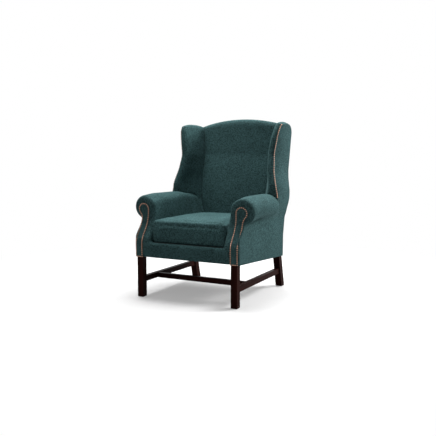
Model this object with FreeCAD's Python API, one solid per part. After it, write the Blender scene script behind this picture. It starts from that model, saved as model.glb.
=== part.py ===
"""Wing armchair with rolled arms, nailed arm facings, a loose seat cushion and an H stretcher.

Millimetres, +Z up. The chair faces -Y, and left and right are as seen from the front. Depths are
measured from the front of the front legs, and every piece is moved by ORIGIN_Y as it is written, so
the origin lies on the floor under the middle of the overall box.
"""
import FreeCAD, Part
import math
import os
from FreeCAD import Vector

# Overall: half the width over the side panels, the crest's height, and the origin's depth
HALF_WIDTH = 350.0
CREST_TOP = 1106.0
ORIGIN_Y = 398.8

# For cutting shapes: past the whole chair, and past a piece; and the least step out of a plane
BEYOND = 2 * CREST_TOP
MARGIN = 10.0
FLAT = 0.001

# Legs, glides and stretchers
LEG_OUTER_X = HALF_WIDTH - 13.0
FRONT_LEG = 39.2
LEG_BLOCK_STEP = 7.0
LEG_CHAMFER = 1.5
REAR_LEG_X = HALF_WIDTH - 8.3
REAR_LEG_WIDTH = 43.0
REAR_LEG_DEPTH = 44.5
REAR_FOOT_Y = 672.6
REAR_RAKE = 0.26
REAR_RAKE_TOP = 235.0
GLIDE_HEIGHT = 2.0
GLIDE_WIDTH = 28.0
STRETCHER_THICK = 28.2
STRETCHER_OUTER_X = HALF_WIDTH - 16.7
STRETCHER_BOTTOM = 92.3
STRETCHER_HEIGHT = 33.5
CROSS_FRONT_Y = 171.7
CROSS_THICK = 26.0
CROSS_HEIGHT = 30.0
TENON_THICK = 10.0
TENON_HEIGHT = 20.0
TENON_LENGTH = 16.0

# Seat frame
RAIL_TOP = 330.0
RAIL_THICK = 28.0
RAIL_FRONT_Y = 6.0
RAIL_FRONT_BOTTOM = 252.0
RAIL_REAR_BOTTOM = 214.0
REAR_RAIL_SETBACK = 6.0
REAR_RAIL_THICK = 24.0
CORNER_BLOCK = 82.0
CORNER_BLOCK_HEIGHT = 40.0
CORNER_BLOCK_DROP = 6.0
WEB_THICK = 2.0
WEB_WIDTH = 50.0
WEB_INSET = 4.0
LENGTHWISE_WEB_COUNT = 6
CROSSWISE_WEB_COUNT = 5
BACK_WEB_COUNT = 5

# Back: its outer face stands upright up to the seat and leans above it
BACK_FACE_Y = 666.0
BACK_BEND_Z = 345.0
BACK_LEAN = 0.19
OUTER_PANEL = 8.0
BACK_PANEL = 5.0
POST_DEPTH = 36.0
SCARF_FRONT_Z = 321.0
SCARF_REAR_Z = 250.0
CREST_RADIUS = 1130.0
CREST_PAD = 24.0
CREST_RAIL_DROP = 121.0
CREST_RAIL_BOTTOM = CREST_TOP - CREST_RAIL_DROP
LOWER_BACK_RAIL_Z = 392.0
LOWER_BACK_RAIL_HEIGHT = 45.0
LOWER_BACK_RAIL_SETBACK = 8.0
INSIDE_BACK_FOOT_Y = 577.0
INSIDE_BACK_BREAK_Z = 470.0
INSIDE_BACK_THICK = 81.0
INSIDE_BACK_MIDDLE = 0.62
BROW_DROP = 48.0
INSIDE_BACK_BROW = CREST_TOP - BROW_DROP
INSIDE_BACK_BULGE = 7.0
INSIDE_BACK_AXIS_Y = 2700.0
CREST_FRONT_ROUND = 19.0
CREST_REAR_ROUND = 12.0
CREST_SEAM_DROP = 26.0

# Fabric edges below the seat
BORDER_BOTTOM = 249.0
SIDE_BOTTOM_FRONT = 250.5
SIDE_BOTTOM_REAR = 208.5
BORDER_CROWN = 3.0
BORDER_SETBACK = 1.0
BORDER_EDGE = 9.0
DUST_COVER = 2.0

# Arm facing: an S-curve in side view, a stem with a round head in front view
FACING_FOOT_Y = -6.0
FACING_HEAD_Y = 67.5
FACING_THICK = 6.0
SWEEP_START_Z = 335.0
SWEEP_ANGLE = 34.6
SWEEP_LOW_RADIUS = 75.0
SWEEP_HIGH_RADIUS = 176.0
FACING_INNER_X = HALF_WIDTH - 56.6
FACING_OUTER_X = HALF_WIDTH - 4.5
HEAD_X = HALF_WIDTH - 19.0
HEAD_Z = 535.0
HEAD_RADIUS = 38.5
HEAD_NECK_Z = 478.0
HEAD_NECK_ANGLE = 52.0
HEAD_NECK_HOLLOW = 1.0

# Arm
ROLL_X = HALF_WIDTH - 17.0
ROLL_Z = 543.0
ROLL_RADIUS = 73.0
ROLL_RISE = 10.0
ROLL_EDGE = 20.0
ROLL_SETBACK = 3.0
ROLL_EDGE_STEPS = 2
ROLL_NOSE_STEPS = 3
ROLL_NOSE = 50.0
ROLL_END_Y = 512.0
ROLL_TOE_IN = 1.9
ROLL_OVERRUN = 0.2
ROLL_COVERED = 60.0
ARM_WALL_X = HALF_WIDTH - 6.4
ARM_INNER_FRONT_LOW = HALF_WIDTH - 97.1
ARM_FOOT_DEPTH = 152.5
ARM_INNER_REAR_LOW = HALF_WIDTH - ARM_FOOT_DEPTH
ARM_INNER_FRONT_HIGH = HALF_WIDTH - 90.0
ARM_INNER_REAR_HIGH = HALF_WIDTH - 119.0
ARM_BREAK_Z = 455.0
ARM_TOP_FRONT = 598.0
ARM_TOP_RIDGE = 619.0
ARM_TOP_REAR = 588.0
ARM_RIDGE_Y = 450.0
ARM_TOP_ROUND = 40.0
ARM_TOP_STEPS = 4
ARM_FRONT_ROUND = 11.0
BAND_SETBACK = 3.5
ARM_POST_INNER_X = HALF_WIDTH - 47.0
ARM_POST_THICK = 35.0
ARM_POST_DEPTH = 45.0
ARM_BOARD_RADIUS = 34.0
ARM_RAIL_INNER_X = HALF_WIDTH - 44.0
ARM_RAIL_THICK = 34.0
ARM_RAIL_Z = 522.0
ARM_RAIL_HEIGHT = 44.0
LOWER_ARM_RAIL_Z = 372.0
LOWER_ARM_RAIL_HEIGHT = 32.0
LOWER_ARM_RAIL_THICK = 22.0
LOWER_ARM_RAIL_INSET = 6.0

# Wing, by share of the height from its foot to the crest: how far the nail line stands out past the
# half width, its depth, the padded front edge's width, and how far the rear edge stands out
WING_FOOT = 480.0
WING_SHAPE = (
    (0.0000, 2.0, 478.0, 60.0, 3.0),
    (0.0958, 24.0, 474.0, 70.0, 14.0),
    (0.2077, 30.0, 474.0, 74.0, 22.0),
    (0.3195, 23.0, 474.0, 56.0, 14.0),
    (0.4633, -2.0, 500.0, 49.0, 1.0),
    (0.6230, -13.0, 529.0, 48.0, 0.0),
    (0.7827, 2.0, 540.0, 48.0, 0.0),
    (0.8946, 16.5, 562.0, 46.0, 0.0),
    (0.9744, 28.0, 590.0, 44.0, 0.0),
)
WING_JUNCTION_SHAPE = (
    (0.0000, -136.0, 580.0),
    (0.2013, -104.0, 620.0),
    (0.6198, -90.0, 700.0),
    (0.9233, -69.0, 740.0),
)
WING_FRONT_BULGE = 14.0
WING_FRONT_SLANT = 14.0
WING_FRONT_STEPS = 4
WING_INNER_BULGE = 8.0
WING_NAIL_MARGIN = 4.0
WING_TOP = CREST_TOP - 35.0
WING_TOP_RADIUS = 357.0
WING_TOP_Y = 667.0
WING_POST_THICK = 24.0
WING_POST_DEPTH = 38.0
WING_POST_SETBACK = 14.0
WING_POST_CLEAR = 4.0
WING_POST_SPACING = 20.0
WING_POST_TOP = CREST_TOP - 76.0
WING_RAIL_HEIGHT = 30.0
WING_RAIL_THICK = 24.0

# Seat deck and cushion
DECK_TOP = 338.5
SOFT_CLEAR = 0.4
CUSHION_CLEAR = 0.3
CUSHION_FRONT_Y = 27.0
CUSHION_REAR_Y = 575.0
CUSHION_SIDE_GAP = 0.5
CUSHION_FRONT_TOP = 466.0
CUSHION_REAR_TOP = 470.0
CUSHION_CROWN = 22.0
CUSHION_FRONT_CROWN = 3.0
CUSHION_SHOULDER = 46.0
CUSHION_DRAW = 4.0
CUSHION_EDGE = 9.0
CUSHION_STATIONS = (0.16, 0.5, 0.84)
CUSHION_SIDE_BULGE = 1.5

SIDES = (("left", -1), ("right", 1))


def wing_height(share):
    """Height at a share of the way from the wing's foot to the crest."""
    return WING_FOOT + (CREST_TOP - WING_FOOT) * share


WING_SECTIONS = [(wing_height(share), HALF_WIDTH + out, *rest) for share, out, *rest in WING_SHAPE]
WING_NAILS = [row[:3] for row in WING_SECTIONS]
WING_JUNCTION = [(wing_height(share), HALF_WIDTH + out, y) for share, out, y in WING_JUNCTION_SHAPE]
DECK_BOTTOM = RAIL_TOP + 2 * WEB_THICK
SEAT_RAIL_OUTER_X = LEG_OUTER_X + LEG_BLOCK_STEP
SEAT_RAIL_INNER_X = SEAT_RAIL_OUTER_X - RAIL_THICK
LEG_INNER_X = LEG_OUTER_X - FRONT_LEG
LEG_BLOCK_REAR_Y = FRONT_LEG + LEG_BLOCK_STEP
POST_INNER_X = REAR_LEG_X - REAR_LEG_WIDTH


def back_face(z):
    """Depth of the outer back's face at height z."""
    return BACK_FACE_Y + BACK_LEAN * max(0.0, z - BACK_BEND_Z)


def post_front(z):
    """Depth of the back posts' front face at height z above the seat."""
    return back_face(z) - BACK_PANEL - POST_DEPTH


def rear_leg_front(z):
    """Depth of the rear leg's front face at height z."""
    return REAR_FOOT_Y - REAR_RAKE * min(z, REAR_RAKE_TOP)


def crest_height(x):
    """Height of the crest's arch at X."""
    return CREST_TOP - CREST_RADIUS + math.sqrt(CREST_RADIUS ** 2 - x ** 2)


def box(x0, x1, y0, y1, z0, z1):
    """Box between two corners."""
    return Part.makeBox(x1 - x0, y1 - y0, z1 - z0, Vector(x0, y0, z0))


def mirrored(shape):
    """Copy of a right-hand piece on the left."""
    return shape.mirror(Vector(0, 0, 0), Vector(1, 0, 0))


def on_side(shape, side):
    """The right-hand piece itself, or its mirror image."""
    return shape if side > 0 else mirrored(shape)


def side_prism(points, x0, x1):
    """Polygon of (Y, Z) points, drawn out along X."""
    corners = [Vector(x0, y, z) for y, z in points]
    face = Part.Face(Part.makePolygon(corners + corners[:1]))
    return face.extrude(Vector(x1 - x0, 0, 0))


def plan_prism(points, z0, z1):
    """Polygon of (X, Y) points, drawn up along Z."""
    corners = [Vector(x, y, z0) for x, y in points]
    face = Part.Face(Part.makePolygon(corners + corners[:1]))
    return face.extrude(Vector(0, 0, z1 - z0))


def edges_prism(edges, direction):
    """Face inside a ring of edges, drawn out along a direction."""
    face = Part.Face(Part.Wire(Part.__sortEdges__(edges)))
    return face.extrude(direction)


def arc(a, middle, b):
    """Arc edge through three points."""
    return Part.Arc(a, middle, b).toShape()


def stepped_arc(a, middle, b, steps):
    """Points along the arc through three points, evenly spaced."""
    return arc(a, middle, b).discretize(Number=steps + 1)


def ruled(sections):
    """Solid through rings of points, with ruled faces between them."""
    return Part.makeLoft([Part.makePolygon(ring + ring[:1]) for ring in sections], True, True)


def flat_faces(a, b, c, d):
    """One flat face between four corners, or two where they don't lie in one plane."""
    normal = (b - a).cross(c - a)
    if abs((d - a).dot(normal)) < FLAT * normal.Length:
        rings = [(a, b, c, d)]
    else:
        rings = [(a, b, c), (a, c, d)]
    return [Part.Face(Part.makePolygon([*ring, ring[0]])) for ring in rings]


def skinned(sections):
    """Solid over matching rings of points, with flat faces between them and over its ends."""
    faces = [Part.Face(Part.makePolygon(ring + ring[:1])) for ring in (sections[0], sections[-1])]
    for low, high in zip(sections, sections[1:]):
        for index in range(len(low)):
            faces += flat_faces(low[index - 1], low[index], high[index], high[index - 1])
    shell = Part.makeShell(faces)
    shell.sewShape()
    solid = Part.makeSolid(shell)
    return solid if solid.Volume > 0 else solid.reversed()


def cut_all(shape, tools):
    """Largest solid left of a shape less each of the tools."""
    for tool in tools:
        shape = shape.cut(tool)
    return max(shape.Solids, key=lambda solid: solid.Volume)


def write(name, shape):
    """Move a piece to the model's origin and write it."""
    moved = shape.copy()
    moved.translate(Vector(0, -ORIGIN_Y, 0))
    moved.exportStep("parts/" + name + ".step")


def write_pair(name, shape):
    """Write a right-hand piece and its mirror image."""
    for label, side in SIDES:
        write(name + "_" + label, on_side(shape, side))


def tenon(x, y, z, along):
    """Tongue of a stretcher's end at its centre, to one side along X or Y."""
    half_thick = TENON_THICK / 2
    half_height = TENON_HEIGHT / 2
    if along == "x":
        return box(x, x + TENON_LENGTH, y - half_thick, y + half_thick, z - half_height, z + half_height)
    return box(x - half_thick, x + half_thick, y, y + TENON_LENGTH, z - half_height, z + half_height)


def side_stretcher():
    """Stretcher from the front leg's rear face to the raked rear leg, tenoned into both."""
    top = STRETCHER_BOTTOM + STRETCHER_HEIGHT
    inner = STRETCHER_OUTER_X - STRETCHER_THICK
    outline = [(FRONT_LEG, STRETCHER_BOTTOM), (rear_leg_front(STRETCHER_BOTTOM), STRETCHER_BOTTOM),
               (rear_leg_front(top), top), (FRONT_LEG, top)]
    bar = side_prism(outline, inner, STRETCHER_OUTER_X)
    middle_x = inner + STRETCHER_THICK / 2
    middle_z = STRETCHER_BOTTOM + STRETCHER_HEIGHT / 2
    front = tenon(middle_x, FRONT_LEG - TENON_LENGTH, middle_z, "y")
    rear = tenon(middle_x, rear_leg_front(middle_z) - REAR_RAKE * TENON_HEIGHT, middle_z, "y")
    return bar.fuse([front, rear]).removeSplitter()


def cross_stretcher():
    """Stretcher between the side stretchers, tenoned into both."""
    half = STRETCHER_OUTER_X - STRETCHER_THICK
    z0 = STRETCHER_BOTTOM
    bar = box(-half, half, CROSS_FRONT_Y, CROSS_FRONT_Y + CROSS_THICK, z0, z0 + CROSS_HEIGHT)
    middle_y = CROSS_FRONT_Y + CROSS_THICK / 2
    middle_z = z0 + CROSS_HEIGHT / 2
    ends = [tenon(half, middle_y, middle_z, "x"), tenon(-half - TENON_LENGTH, middle_y, middle_z, "x")]
    return bar.fuse(ends).removeSplitter()


def front_leg():
    """Square leg with a wider block inside the seat frame."""
    post = box(LEG_INNER_X, LEG_OUTER_X, 0, FRONT_LEG, GLIDE_HEIGHT, RAIL_FRONT_BOTTOM)
    post = post.makeChamfer(LEG_CHAMFER, [e for e in post.Edges if e.BoundBox.ZMax < RAIL_FRONT_BOTTOM])
    block = box(LEG_INNER_X, SEAT_RAIL_OUTER_X, 0, LEG_BLOCK_REAR_Y, RAIL_FRONT_BOTTOM, RAIL_TOP)
    return post.fuse(block).removeSplitter()


def rear_leg():
    """Leg raked backward to the foot, cut on the scarf that the back post stands on."""
    depth = REAR_LEG_DEPTH
    foot = rear_leg_front(GLIDE_HEIGHT)
    knee = rear_leg_front(REAR_RAKE_TOP)
    outline = [(foot, GLIDE_HEIGHT), (foot + depth, GLIDE_HEIGHT), (knee + depth, REAR_RAKE_TOP),
               (scarf_rear_y(), SCARF_REAR_Z), (scarf_front_y(), SCARF_FRONT_Z), (knee, REAR_RAKE_TOP)]
    leg = side_prism(outline, POST_INNER_X, REAR_LEG_X)
    low = [e for e in leg.Edges if e.BoundBox.ZMax < GLIDE_HEIGHT + 1]
    return leg.makeChamfer(LEG_CHAMFER, low)


def between(z, low, high):
    """Depth at height z on the straight line between two (Y, Z) points."""
    return low[0] + (high[0] - low[0]) * (z - low[1]) / (high[1] - low[1])


def scarf_front_y():
    """Depth of the scarf's upper end, on the front face."""
    knee = (rear_leg_front(REAR_RAKE_TOP), REAR_RAKE_TOP)
    return between(SCARF_FRONT_Z, knee, (post_front(BACK_BEND_Z), BACK_BEND_Z))


def scarf_rear_y():
    """Depth of the scarf's lower end, on the rear face."""
    knee = (rear_leg_front(REAR_RAKE_TOP) + REAR_LEG_DEPTH, REAR_RAKE_TOP)
    return between(SCARF_REAR_Z, knee, (back_face(0) - BACK_PANEL, BACK_BEND_Z))


def back_post():
    """Post from the scarf on the rear leg up to the crest rail."""
    top = CREST_RAIL_BOTTOM
    outline = [(scarf_rear_y(), SCARF_REAR_Z), (back_face(0) - BACK_PANEL, BACK_BEND_Z),
               (back_face(top) - BACK_PANEL, top), (post_front(top), top),
               (post_front(BACK_BEND_Z), BACK_BEND_Z), (scarf_front_y(), SCARF_FRONT_Z)]
    return side_prism(outline, POST_INNER_X, REAR_LEG_X)


def leaning_slab(front, rear, z0, z1, half_width):
    """Slab between two depths in front of the back's face, leaning with it."""
    outline = [(back_face(z0) - front, z0), (back_face(z0) - rear, z0),
               (back_face(z1) - rear, z1), (back_face(z1) - front, z1)]
    return side_prism(outline, -half_width, half_width)


def arch_prism(half_width, z0, drop):
    """Front outline with the crest's arch on top, lowered by drop, drawn through the depth."""
    y = -BEYOND
    left = Vector(-half_width, y, crest_height(half_width) - drop)
    right = Vector(half_width, y, crest_height(half_width) - drop)
    edges = [
        Part.makeLine(Vector(-half_width, y, z0), Vector(half_width, y, z0)),
        Part.makeLine(Vector(half_width, y, z0), right),
        arc(right, Vector(0, y, crest_height(0) - drop), left),
        Part.makeLine(left, Vector(-half_width, y, z0)),
    ]
    return edges_prism(edges, Vector(0, 2 * BEYOND, 0))


def crest_rail():
    """Arched rail across the tops of the back posts."""
    slab = leaning_slab(BACK_PANEL + POST_DEPTH, BACK_PANEL, CREST_RAIL_BOTTOM, CREST_TOP, REAR_LEG_X)
    return slab.common(arch_prism(REAR_LEG_X, CREST_RAIL_BOTTOM, CREST_PAD))


def lower_back_rail():
    """Rail between the back posts, above the seat, that carries the back's lower edge."""
    top = LOWER_BACK_RAIL_Z + LOWER_BACK_RAIL_HEIGHT
    rear = BACK_PANEL + LOWER_BACK_RAIL_SETBACK
    return leaning_slab(BACK_PANEL + POST_DEPTH, rear, LOWER_BACK_RAIL_Z, top, POST_INNER_X)


def front_rail():
    """Seat rail between the front leg blocks."""
    rear = RAIL_FRONT_Y + RAIL_THICK
    return box(-LEG_INNER_X, LEG_INNER_X, RAIL_FRONT_Y, rear, RAIL_FRONT_BOTTOM, RAIL_TOP)


def side_rail():
    """Seat rail from the front leg block to the rear leg, deeper at the rear."""
    rear_bottom = rear_leg_front(RAIL_REAR_BOTTOM)
    knee = (rear_leg_front(REAR_RAKE_TOP), REAR_RAKE_TOP)
    rear_top = between(RAIL_TOP, knee, (post_front(BACK_BEND_Z), BACK_BEND_Z))
    outline = [(LEG_BLOCK_REAR_Y, RAIL_FRONT_BOTTOM), (rear_bottom, RAIL_REAR_BOTTOM), knee,
               (scarf_front_y(), SCARF_FRONT_Z), (rear_top, RAIL_TOP), (LEG_BLOCK_REAR_Y, RAIL_TOP)]
    return side_prism(outline, SEAT_RAIL_INNER_X, min(SEAT_RAIL_OUTER_X, REAR_LEG_X))


def rear_rail():
    """Seat rail between the rear legs."""
    y0 = rear_rail_front()
    return box(-POST_INNER_X, POST_INNER_X, y0, y0 + REAR_RAIL_THICK, RAIL_REAR_BOTTOM, RAIL_TOP)


def rear_rail_front():
    """Depth of the rear rail's front face."""
    return rear_leg_front(RAIL_REAR_BOTTOM) + REAR_RAIL_SETBACK


def front_corner_block():
    """Brace across the corner of the front and side rails, notched round the leg."""
    rail_y = RAIL_FRONT_Y + RAIL_THICK
    x_far = SEAT_RAIL_INNER_X - CORNER_BLOCK
    outline = [(LEG_INNER_X, rail_y), (x_far, rail_y), (SEAT_RAIL_INNER_X, rail_y + CORNER_BLOCK),
               (SEAT_RAIL_INNER_X, LEG_BLOCK_REAR_Y), (LEG_INNER_X, LEG_BLOCK_REAR_Y)]
    top = RAIL_TOP - CORNER_BLOCK_DROP
    return plan_prism(outline, top - CORNER_BLOCK_HEIGHT, top)


def rear_corner_block():
    """Brace across the corner of the rear and side rails, notched round the leg."""
    rail_y = rear_rail_front()
    leg_y = rear_leg_front(REAR_RAKE_TOP)
    outline = [(POST_INNER_X, rail_y), (SEAT_RAIL_INNER_X - CORNER_BLOCK, rail_y),
               (SEAT_RAIL_INNER_X, rail_y - CORNER_BLOCK), (SEAT_RAIL_INNER_X, leg_y),
               (POST_INNER_X, leg_y)]
    top = RAIL_TOP - CORNER_BLOCK_DROP
    return plan_prism(outline, top - CORNER_BLOCK_HEIGHT, top)


def spread(count, first, last):
    """Centres of evenly spaced copies between two limits."""
    step = (last - first) / count
    return [first + step * (index + 0.5) for index in range(count)]


def seat_webbing():
    """Straps tacked on the seat rails, one set over the other."""
    half = WEB_WIDTH / 2
    front = RAIL_FRONT_Y + WEB_INSET
    rear = rear_rail_front() + REAR_RAIL_THICK - WEB_INSET
    straps = []
    for x in spread(LENGTHWISE_WEB_COUNT, -SEAT_RAIL_INNER_X, SEAT_RAIL_INNER_X):
        straps.append(box(x - half, x + half, front, rear, RAIL_TOP, RAIL_TOP + WEB_THICK))
    side = SEAT_RAIL_INNER_X + RAIL_THICK / 2
    for y in spread(CROSSWISE_WEB_COUNT, RAIL_FRONT_Y + RAIL_THICK, rear_rail_front()):
        straps.append(box(-side, side, y - half, y + half, RAIL_TOP + WEB_THICK, DECK_BOTTOM))
    return Part.makeCompound(straps)


def back_webbing():
    """Straps across the front of the back posts."""
    front = BACK_PANEL + POST_DEPTH + WEB_THICK
    straps = []
    low = LOWER_BACK_RAIL_Z + LOWER_BACK_RAIL_HEIGHT
    for z in spread(BACK_WEB_COUNT, low, CREST_RAIL_BOTTOM):
        half_width = POST_INNER_X + REAR_LEG_WIDTH / 2
        z0 = z - WEB_WIDTH / 2
        straps.append(leaning_slab(front, front - WEB_THICK, z0, z0 + WEB_WIDTH, half_width))
    return Part.makeCompound(straps)


def roll_bow():
    """Radius of the roll's gentle upward bow, and the lean of its front face, in radians."""
    half_length = (ROLL_END_Y - FACING_HEAD_Y) / 2
    radius = (half_length ** 2 + ROLL_RISE ** 2) / (2 * ROLL_RISE)
    return radius, math.asin(half_length / radius)


def sweep_points():
    """Corners and arc middles of the facing's S-curve in side view, from the foot up.

    Its upper arc passes the upright by the lean of the roll's front face, and runs on in that face.
    """
    angle = math.radians(SWEEP_ANGLE)
    lean = roll_bow()[1]
    low = SWEEP_LOW_RADIUS
    high = SWEEP_HIGH_RADIUS
    y1, z1 = FACING_FOOT_Y, SWEEP_START_Z
    y2, z2 = y1 + low * (1 - math.cos(angle)), z1 + low * math.sin(angle)
    middle_low = (y1 + low * (1 - math.cos(angle / 2)), z1 + low * math.sin(angle / 2))
    y_gap = FACING_HEAD_Y - y2 - high * (math.cos(lean) - math.cos(angle))
    z_gap = ROLL_Z - z2 - high * (math.sin(angle) + math.sin(lean))
    straight = (y_gap + math.tan(lean) * z_gap) / (math.sin(angle) + math.tan(lean) * math.cos(angle))
    y3, z3 = y2 + straight * math.sin(angle), z2 + straight * math.cos(angle)
    centre_y, centre_z = y3 - high * math.cos(angle), z3 + high * math.sin(angle)
    mean = (angle - lean) / 2
    middle_high = (centre_y + high * math.cos(mean), centre_z - high * math.sin(mean))
    end = (centre_y + high * math.cos(lean), centre_z + high * math.sin(lean))
    return (y1, z1), middle_low, (y2, z2), (y3, z3), middle_high, end


def head_plane(z):
    """Depth of the roll's front face at height z."""
    return FACING_HEAD_Y - math.tan(roll_bow()[1]) * (z - ROLL_Z)


def sweep_edges(shift, z0, z1, x):
    """Edges of the S-curve, moved back by shift, with straight ends down to z0 and up to z1."""
    points = [Vector(x, y + shift, z) for y, z in sweep_points()]
    start = Vector(x, points[0].y, z0)
    end = Vector(x, head_plane(z1) + shift, z1)
    edges = [
        Part.makeLine(start, points[0]),
        arc(points[0], points[1], points[2]),
        Part.makeLine(points[2], points[3]),
        arc(points[3], points[4], points[5]),
        Part.makeLine(points[5], end),
    ]
    return edges, start, end


def sweep_strip(shift, thick, z0, z1, x0, x1):
    """Strip of even depth behind the S-curve, drawn out along X."""
    front, low, high = sweep_edges(shift, z0, z1, x0)
    back, back_low, back_high = sweep_edges(shift + thick, z0, z1, x0)
    ends = [Part.makeLine(low, back_low), Part.makeLine(high, back_high)]
    return edges_prism(front + back + ends, Vector(x1 - x0, 0, 0))


def behind_sweep(shift, x0, x1):
    """Everything behind the S-curve, moved back by shift."""
    front, low, high = sweep_edges(shift, 0, BEYOND, x0)
    far_low = Vector(x0, BEYOND, 0)
    far_high = Vector(x0, BEYOND, BEYOND)
    ends = [Part.makeLine(low, far_low), Part.makeLine(far_low, far_high), Part.makeLine(far_high, high)]
    return edges_prism(front + ends, Vector(x1 - x0, 0, 0))


def facing_outline():
    """Front outline of the facing: a stem with a round head, drawn through the depth."""
    y = -BEYOND

    def on_head(degrees):
        turn = math.radians(degrees)
        return Vector(HEAD_X + HEAD_RADIUS * math.cos(turn), y, HEAD_Z + HEAD_RADIUS * math.sin(turn))

    inner, top, outer, below, neck = [on_head(degrees) for degrees in (
        180, 90, 0, -HEAD_NECK_ANGLE / 2, -HEAD_NECK_ANGLE)]
    foot_inner = Vector(FACING_INNER_X, y, BORDER_BOTTOM)
    foot_outer = Vector(FACING_OUTER_X, y, BORDER_BOTTOM)
    stem = Vector(FACING_OUTER_X, y, HEAD_NECK_Z)
    hollow = Vector((neck.x + stem.x) / 2 - HEAD_NECK_HOLLOW, y, (neck.z + stem.z) / 2)
    edges = [
        Part.makeLine(foot_inner, inner),
        arc(inner, top, outer),
        arc(outer, below, neck),
        arc(neck, hollow, stem),
        Part.makeLine(stem, foot_outer),
        Part.makeLine(foot_outer, foot_inner),
    ]
    return edges_prism(edges, Vector(0, 2 * BEYOND, 0))


def arm_facing():
    """Nailed panel on the arm's front, following the S-curve."""
    top = HEAD_Z + HEAD_RADIUS + MARGIN
    outer = HEAD_X + HEAD_RADIUS + MARGIN
    strip = sweep_strip(0, FACING_THICK, BORDER_BOTTOM - MARGIN, top, 0, outer)
    return strip.common(facing_outline())


def arm_post():
    """Curved post behind the facing, from the front leg's block up into the roll."""
    top = ARM_RAIL_Z + ARM_RAIL_HEIGHT
    x1 = ARM_POST_INNER_X + ARM_POST_THICK
    post = sweep_strip(FACING_THICK, ARM_POST_DEPTH, RAIL_TOP, top, ARM_POST_INNER_X, x1)
    y0 = FACING_HEAD_Y + FACING_THICK
    head = Vector(HEAD_X, y0, HEAD_Z)
    board = Part.makeCylinder(ARM_BOARD_RADIUS, ARM_POST_DEPTH, head, Vector(0, 1, 0))
    behind = behind_sweep(FACING_THICK, HEAD_X - HEAD_RADIUS, HEAD_X + HEAD_RADIUS)
    return post.fuse(board.common(behind)).removeSplitter()


def arm_rail_start():
    """Depth at which both arm rails meet the arm post's rear face near its top."""
    return FACING_HEAD_Y + FACING_THICK + ARM_POST_DEPTH


def rail_to_post(y0, x0, x1, z0, z1):
    """Bar from depth y0 to the leaning front face of the back post."""
    outline = [(y0, z0), (post_front(z0), z0), (post_front(z1), z1), (y0, z1)]
    return side_prism(outline, x0, x1)


def arm_rail():
    """Upper rail inside the roll, from the arm post to the back post."""
    x1 = ARM_RAIL_INNER_X + ARM_RAIL_THICK
    bar = rail_to_post(arm_rail_start(), ARM_RAIL_INNER_X, x1, ARM_RAIL_Z, ARM_RAIL_Z + ARM_RAIL_HEIGHT)
    return bar.cut(arm_post())


def lower_arm_rail():
    """Lower rail that the arm's inner cover is drawn round, from the arm post to the back post."""
    x0 = ARM_POST_INNER_X + LOWER_ARM_RAIL_INSET
    x1 = x0 + LOWER_ARM_RAIL_THICK
    top = LOWER_ARM_RAIL_Z + LOWER_ARM_RAIL_HEIGHT
    bar = rail_to_post(FACING_FOOT_Y, x0, x1, LOWER_ARM_RAIL_Z, top)
    return bar.common(behind_sweep(FACING_THICK + ARM_POST_DEPTH, x0, x1))


def quarter_steps(radius, steps):
    """Points (along, inset) of a quarter round in straight steps, from its side to its tip."""
    turns = [math.pi / 2 * step / steps for step in range(steps + 1)]
    return [(radius * math.sin(turn), radius * (1 - math.cos(turn))) for turn in turns]


def turned_end(tip, other, edge, steps):
    """End of the roll, turned about the line from its tip to the next stretch, with a rounded rim."""
    line = other - tip
    rim = [(edge - along, ROLL_RADIUS - inset) for along, inset in quarter_steps(edge, steps)]
    outline = [(0, 0), (line.Length, 0), (line.Length, ROLL_RADIUS)] + rim
    points = [Vector(along, 0, radius) for along, radius in outline]
    end = Part.Face(Part.makePolygon(points + points[:1])).revolve(Vector(0, 0, 0), Vector(1, 0, 0), 360)
    end.Placement = FreeCAD.Placement(tip, FreeCAD.Rotation(Vector(1, 0, 0), line))
    return end


def mitre(place, lean, side):
    """Half-space in front of (-1) or behind (1) a leaning plane across the roll, as a large box."""
    reach = 2 * ROLL_END_Y
    low, high = (place.y - reach, place.y) if side < 0 else (place.y, place.y + reach)
    block = box(0, 2 * ROLL_X, low, high, 0, CREST_TOP)
    block.rotate(place, Vector(1, 0, 0), lean)
    return block


def arm_roll(facing, frame):
    """Roll along the arm: a gentle bow in three stretches, a rounded front edge and a rounded nose."""
    lean = roll_bow()[1]
    reach = ROLL_RISE / math.tan(lean)
    front = Vector(ROLL_X, FACING_HEAD_Y, ROLL_Z)
    first = front + Vector(0, reach, ROLL_RISE)
    rear = Vector(ROLL_X, ROLL_END_Y, ROLL_Z)
    second = rear + Vector(0, -reach, ROLL_RISE)
    half_lean = math.degrees(lean) / 2
    over = (second - first) * ROLL_OVERRUN
    length = (second - first + over * 2).Length
    body = Part.makeCylinder(ROLL_RADIUS, length, first - over, Vector(0, 1, 0))
    body = body.common(mitre(first, half_lean, 1)).common(mitre(second, -half_lean, -1))
    front_end = turned_end(front, first + (first - front) * ROLL_OVERRUN, ROLL_EDGE, ROLL_EDGE_STEPS)
    rear_end = turned_end(rear, second + (second - rear) * ROLL_OVERRUN, ROLL_NOSE, ROLL_NOSE_STEPS)
    ends = [front_end.common(mitre(first, half_lean, -1)), rear_end.common(mitre(second, -half_lean, 1))]
    roll = body.fuse(ends).removeSplitter()
    roll.rotate(Vector(ROLL_X, FACING_HEAD_Y, 0), Vector(0, 0, 1), ROLL_TOE_IN)
    roll.translate(Vector(0, ROLL_SETBACK, 0))
    return cut_all(roll, [facing] + frame)


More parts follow.
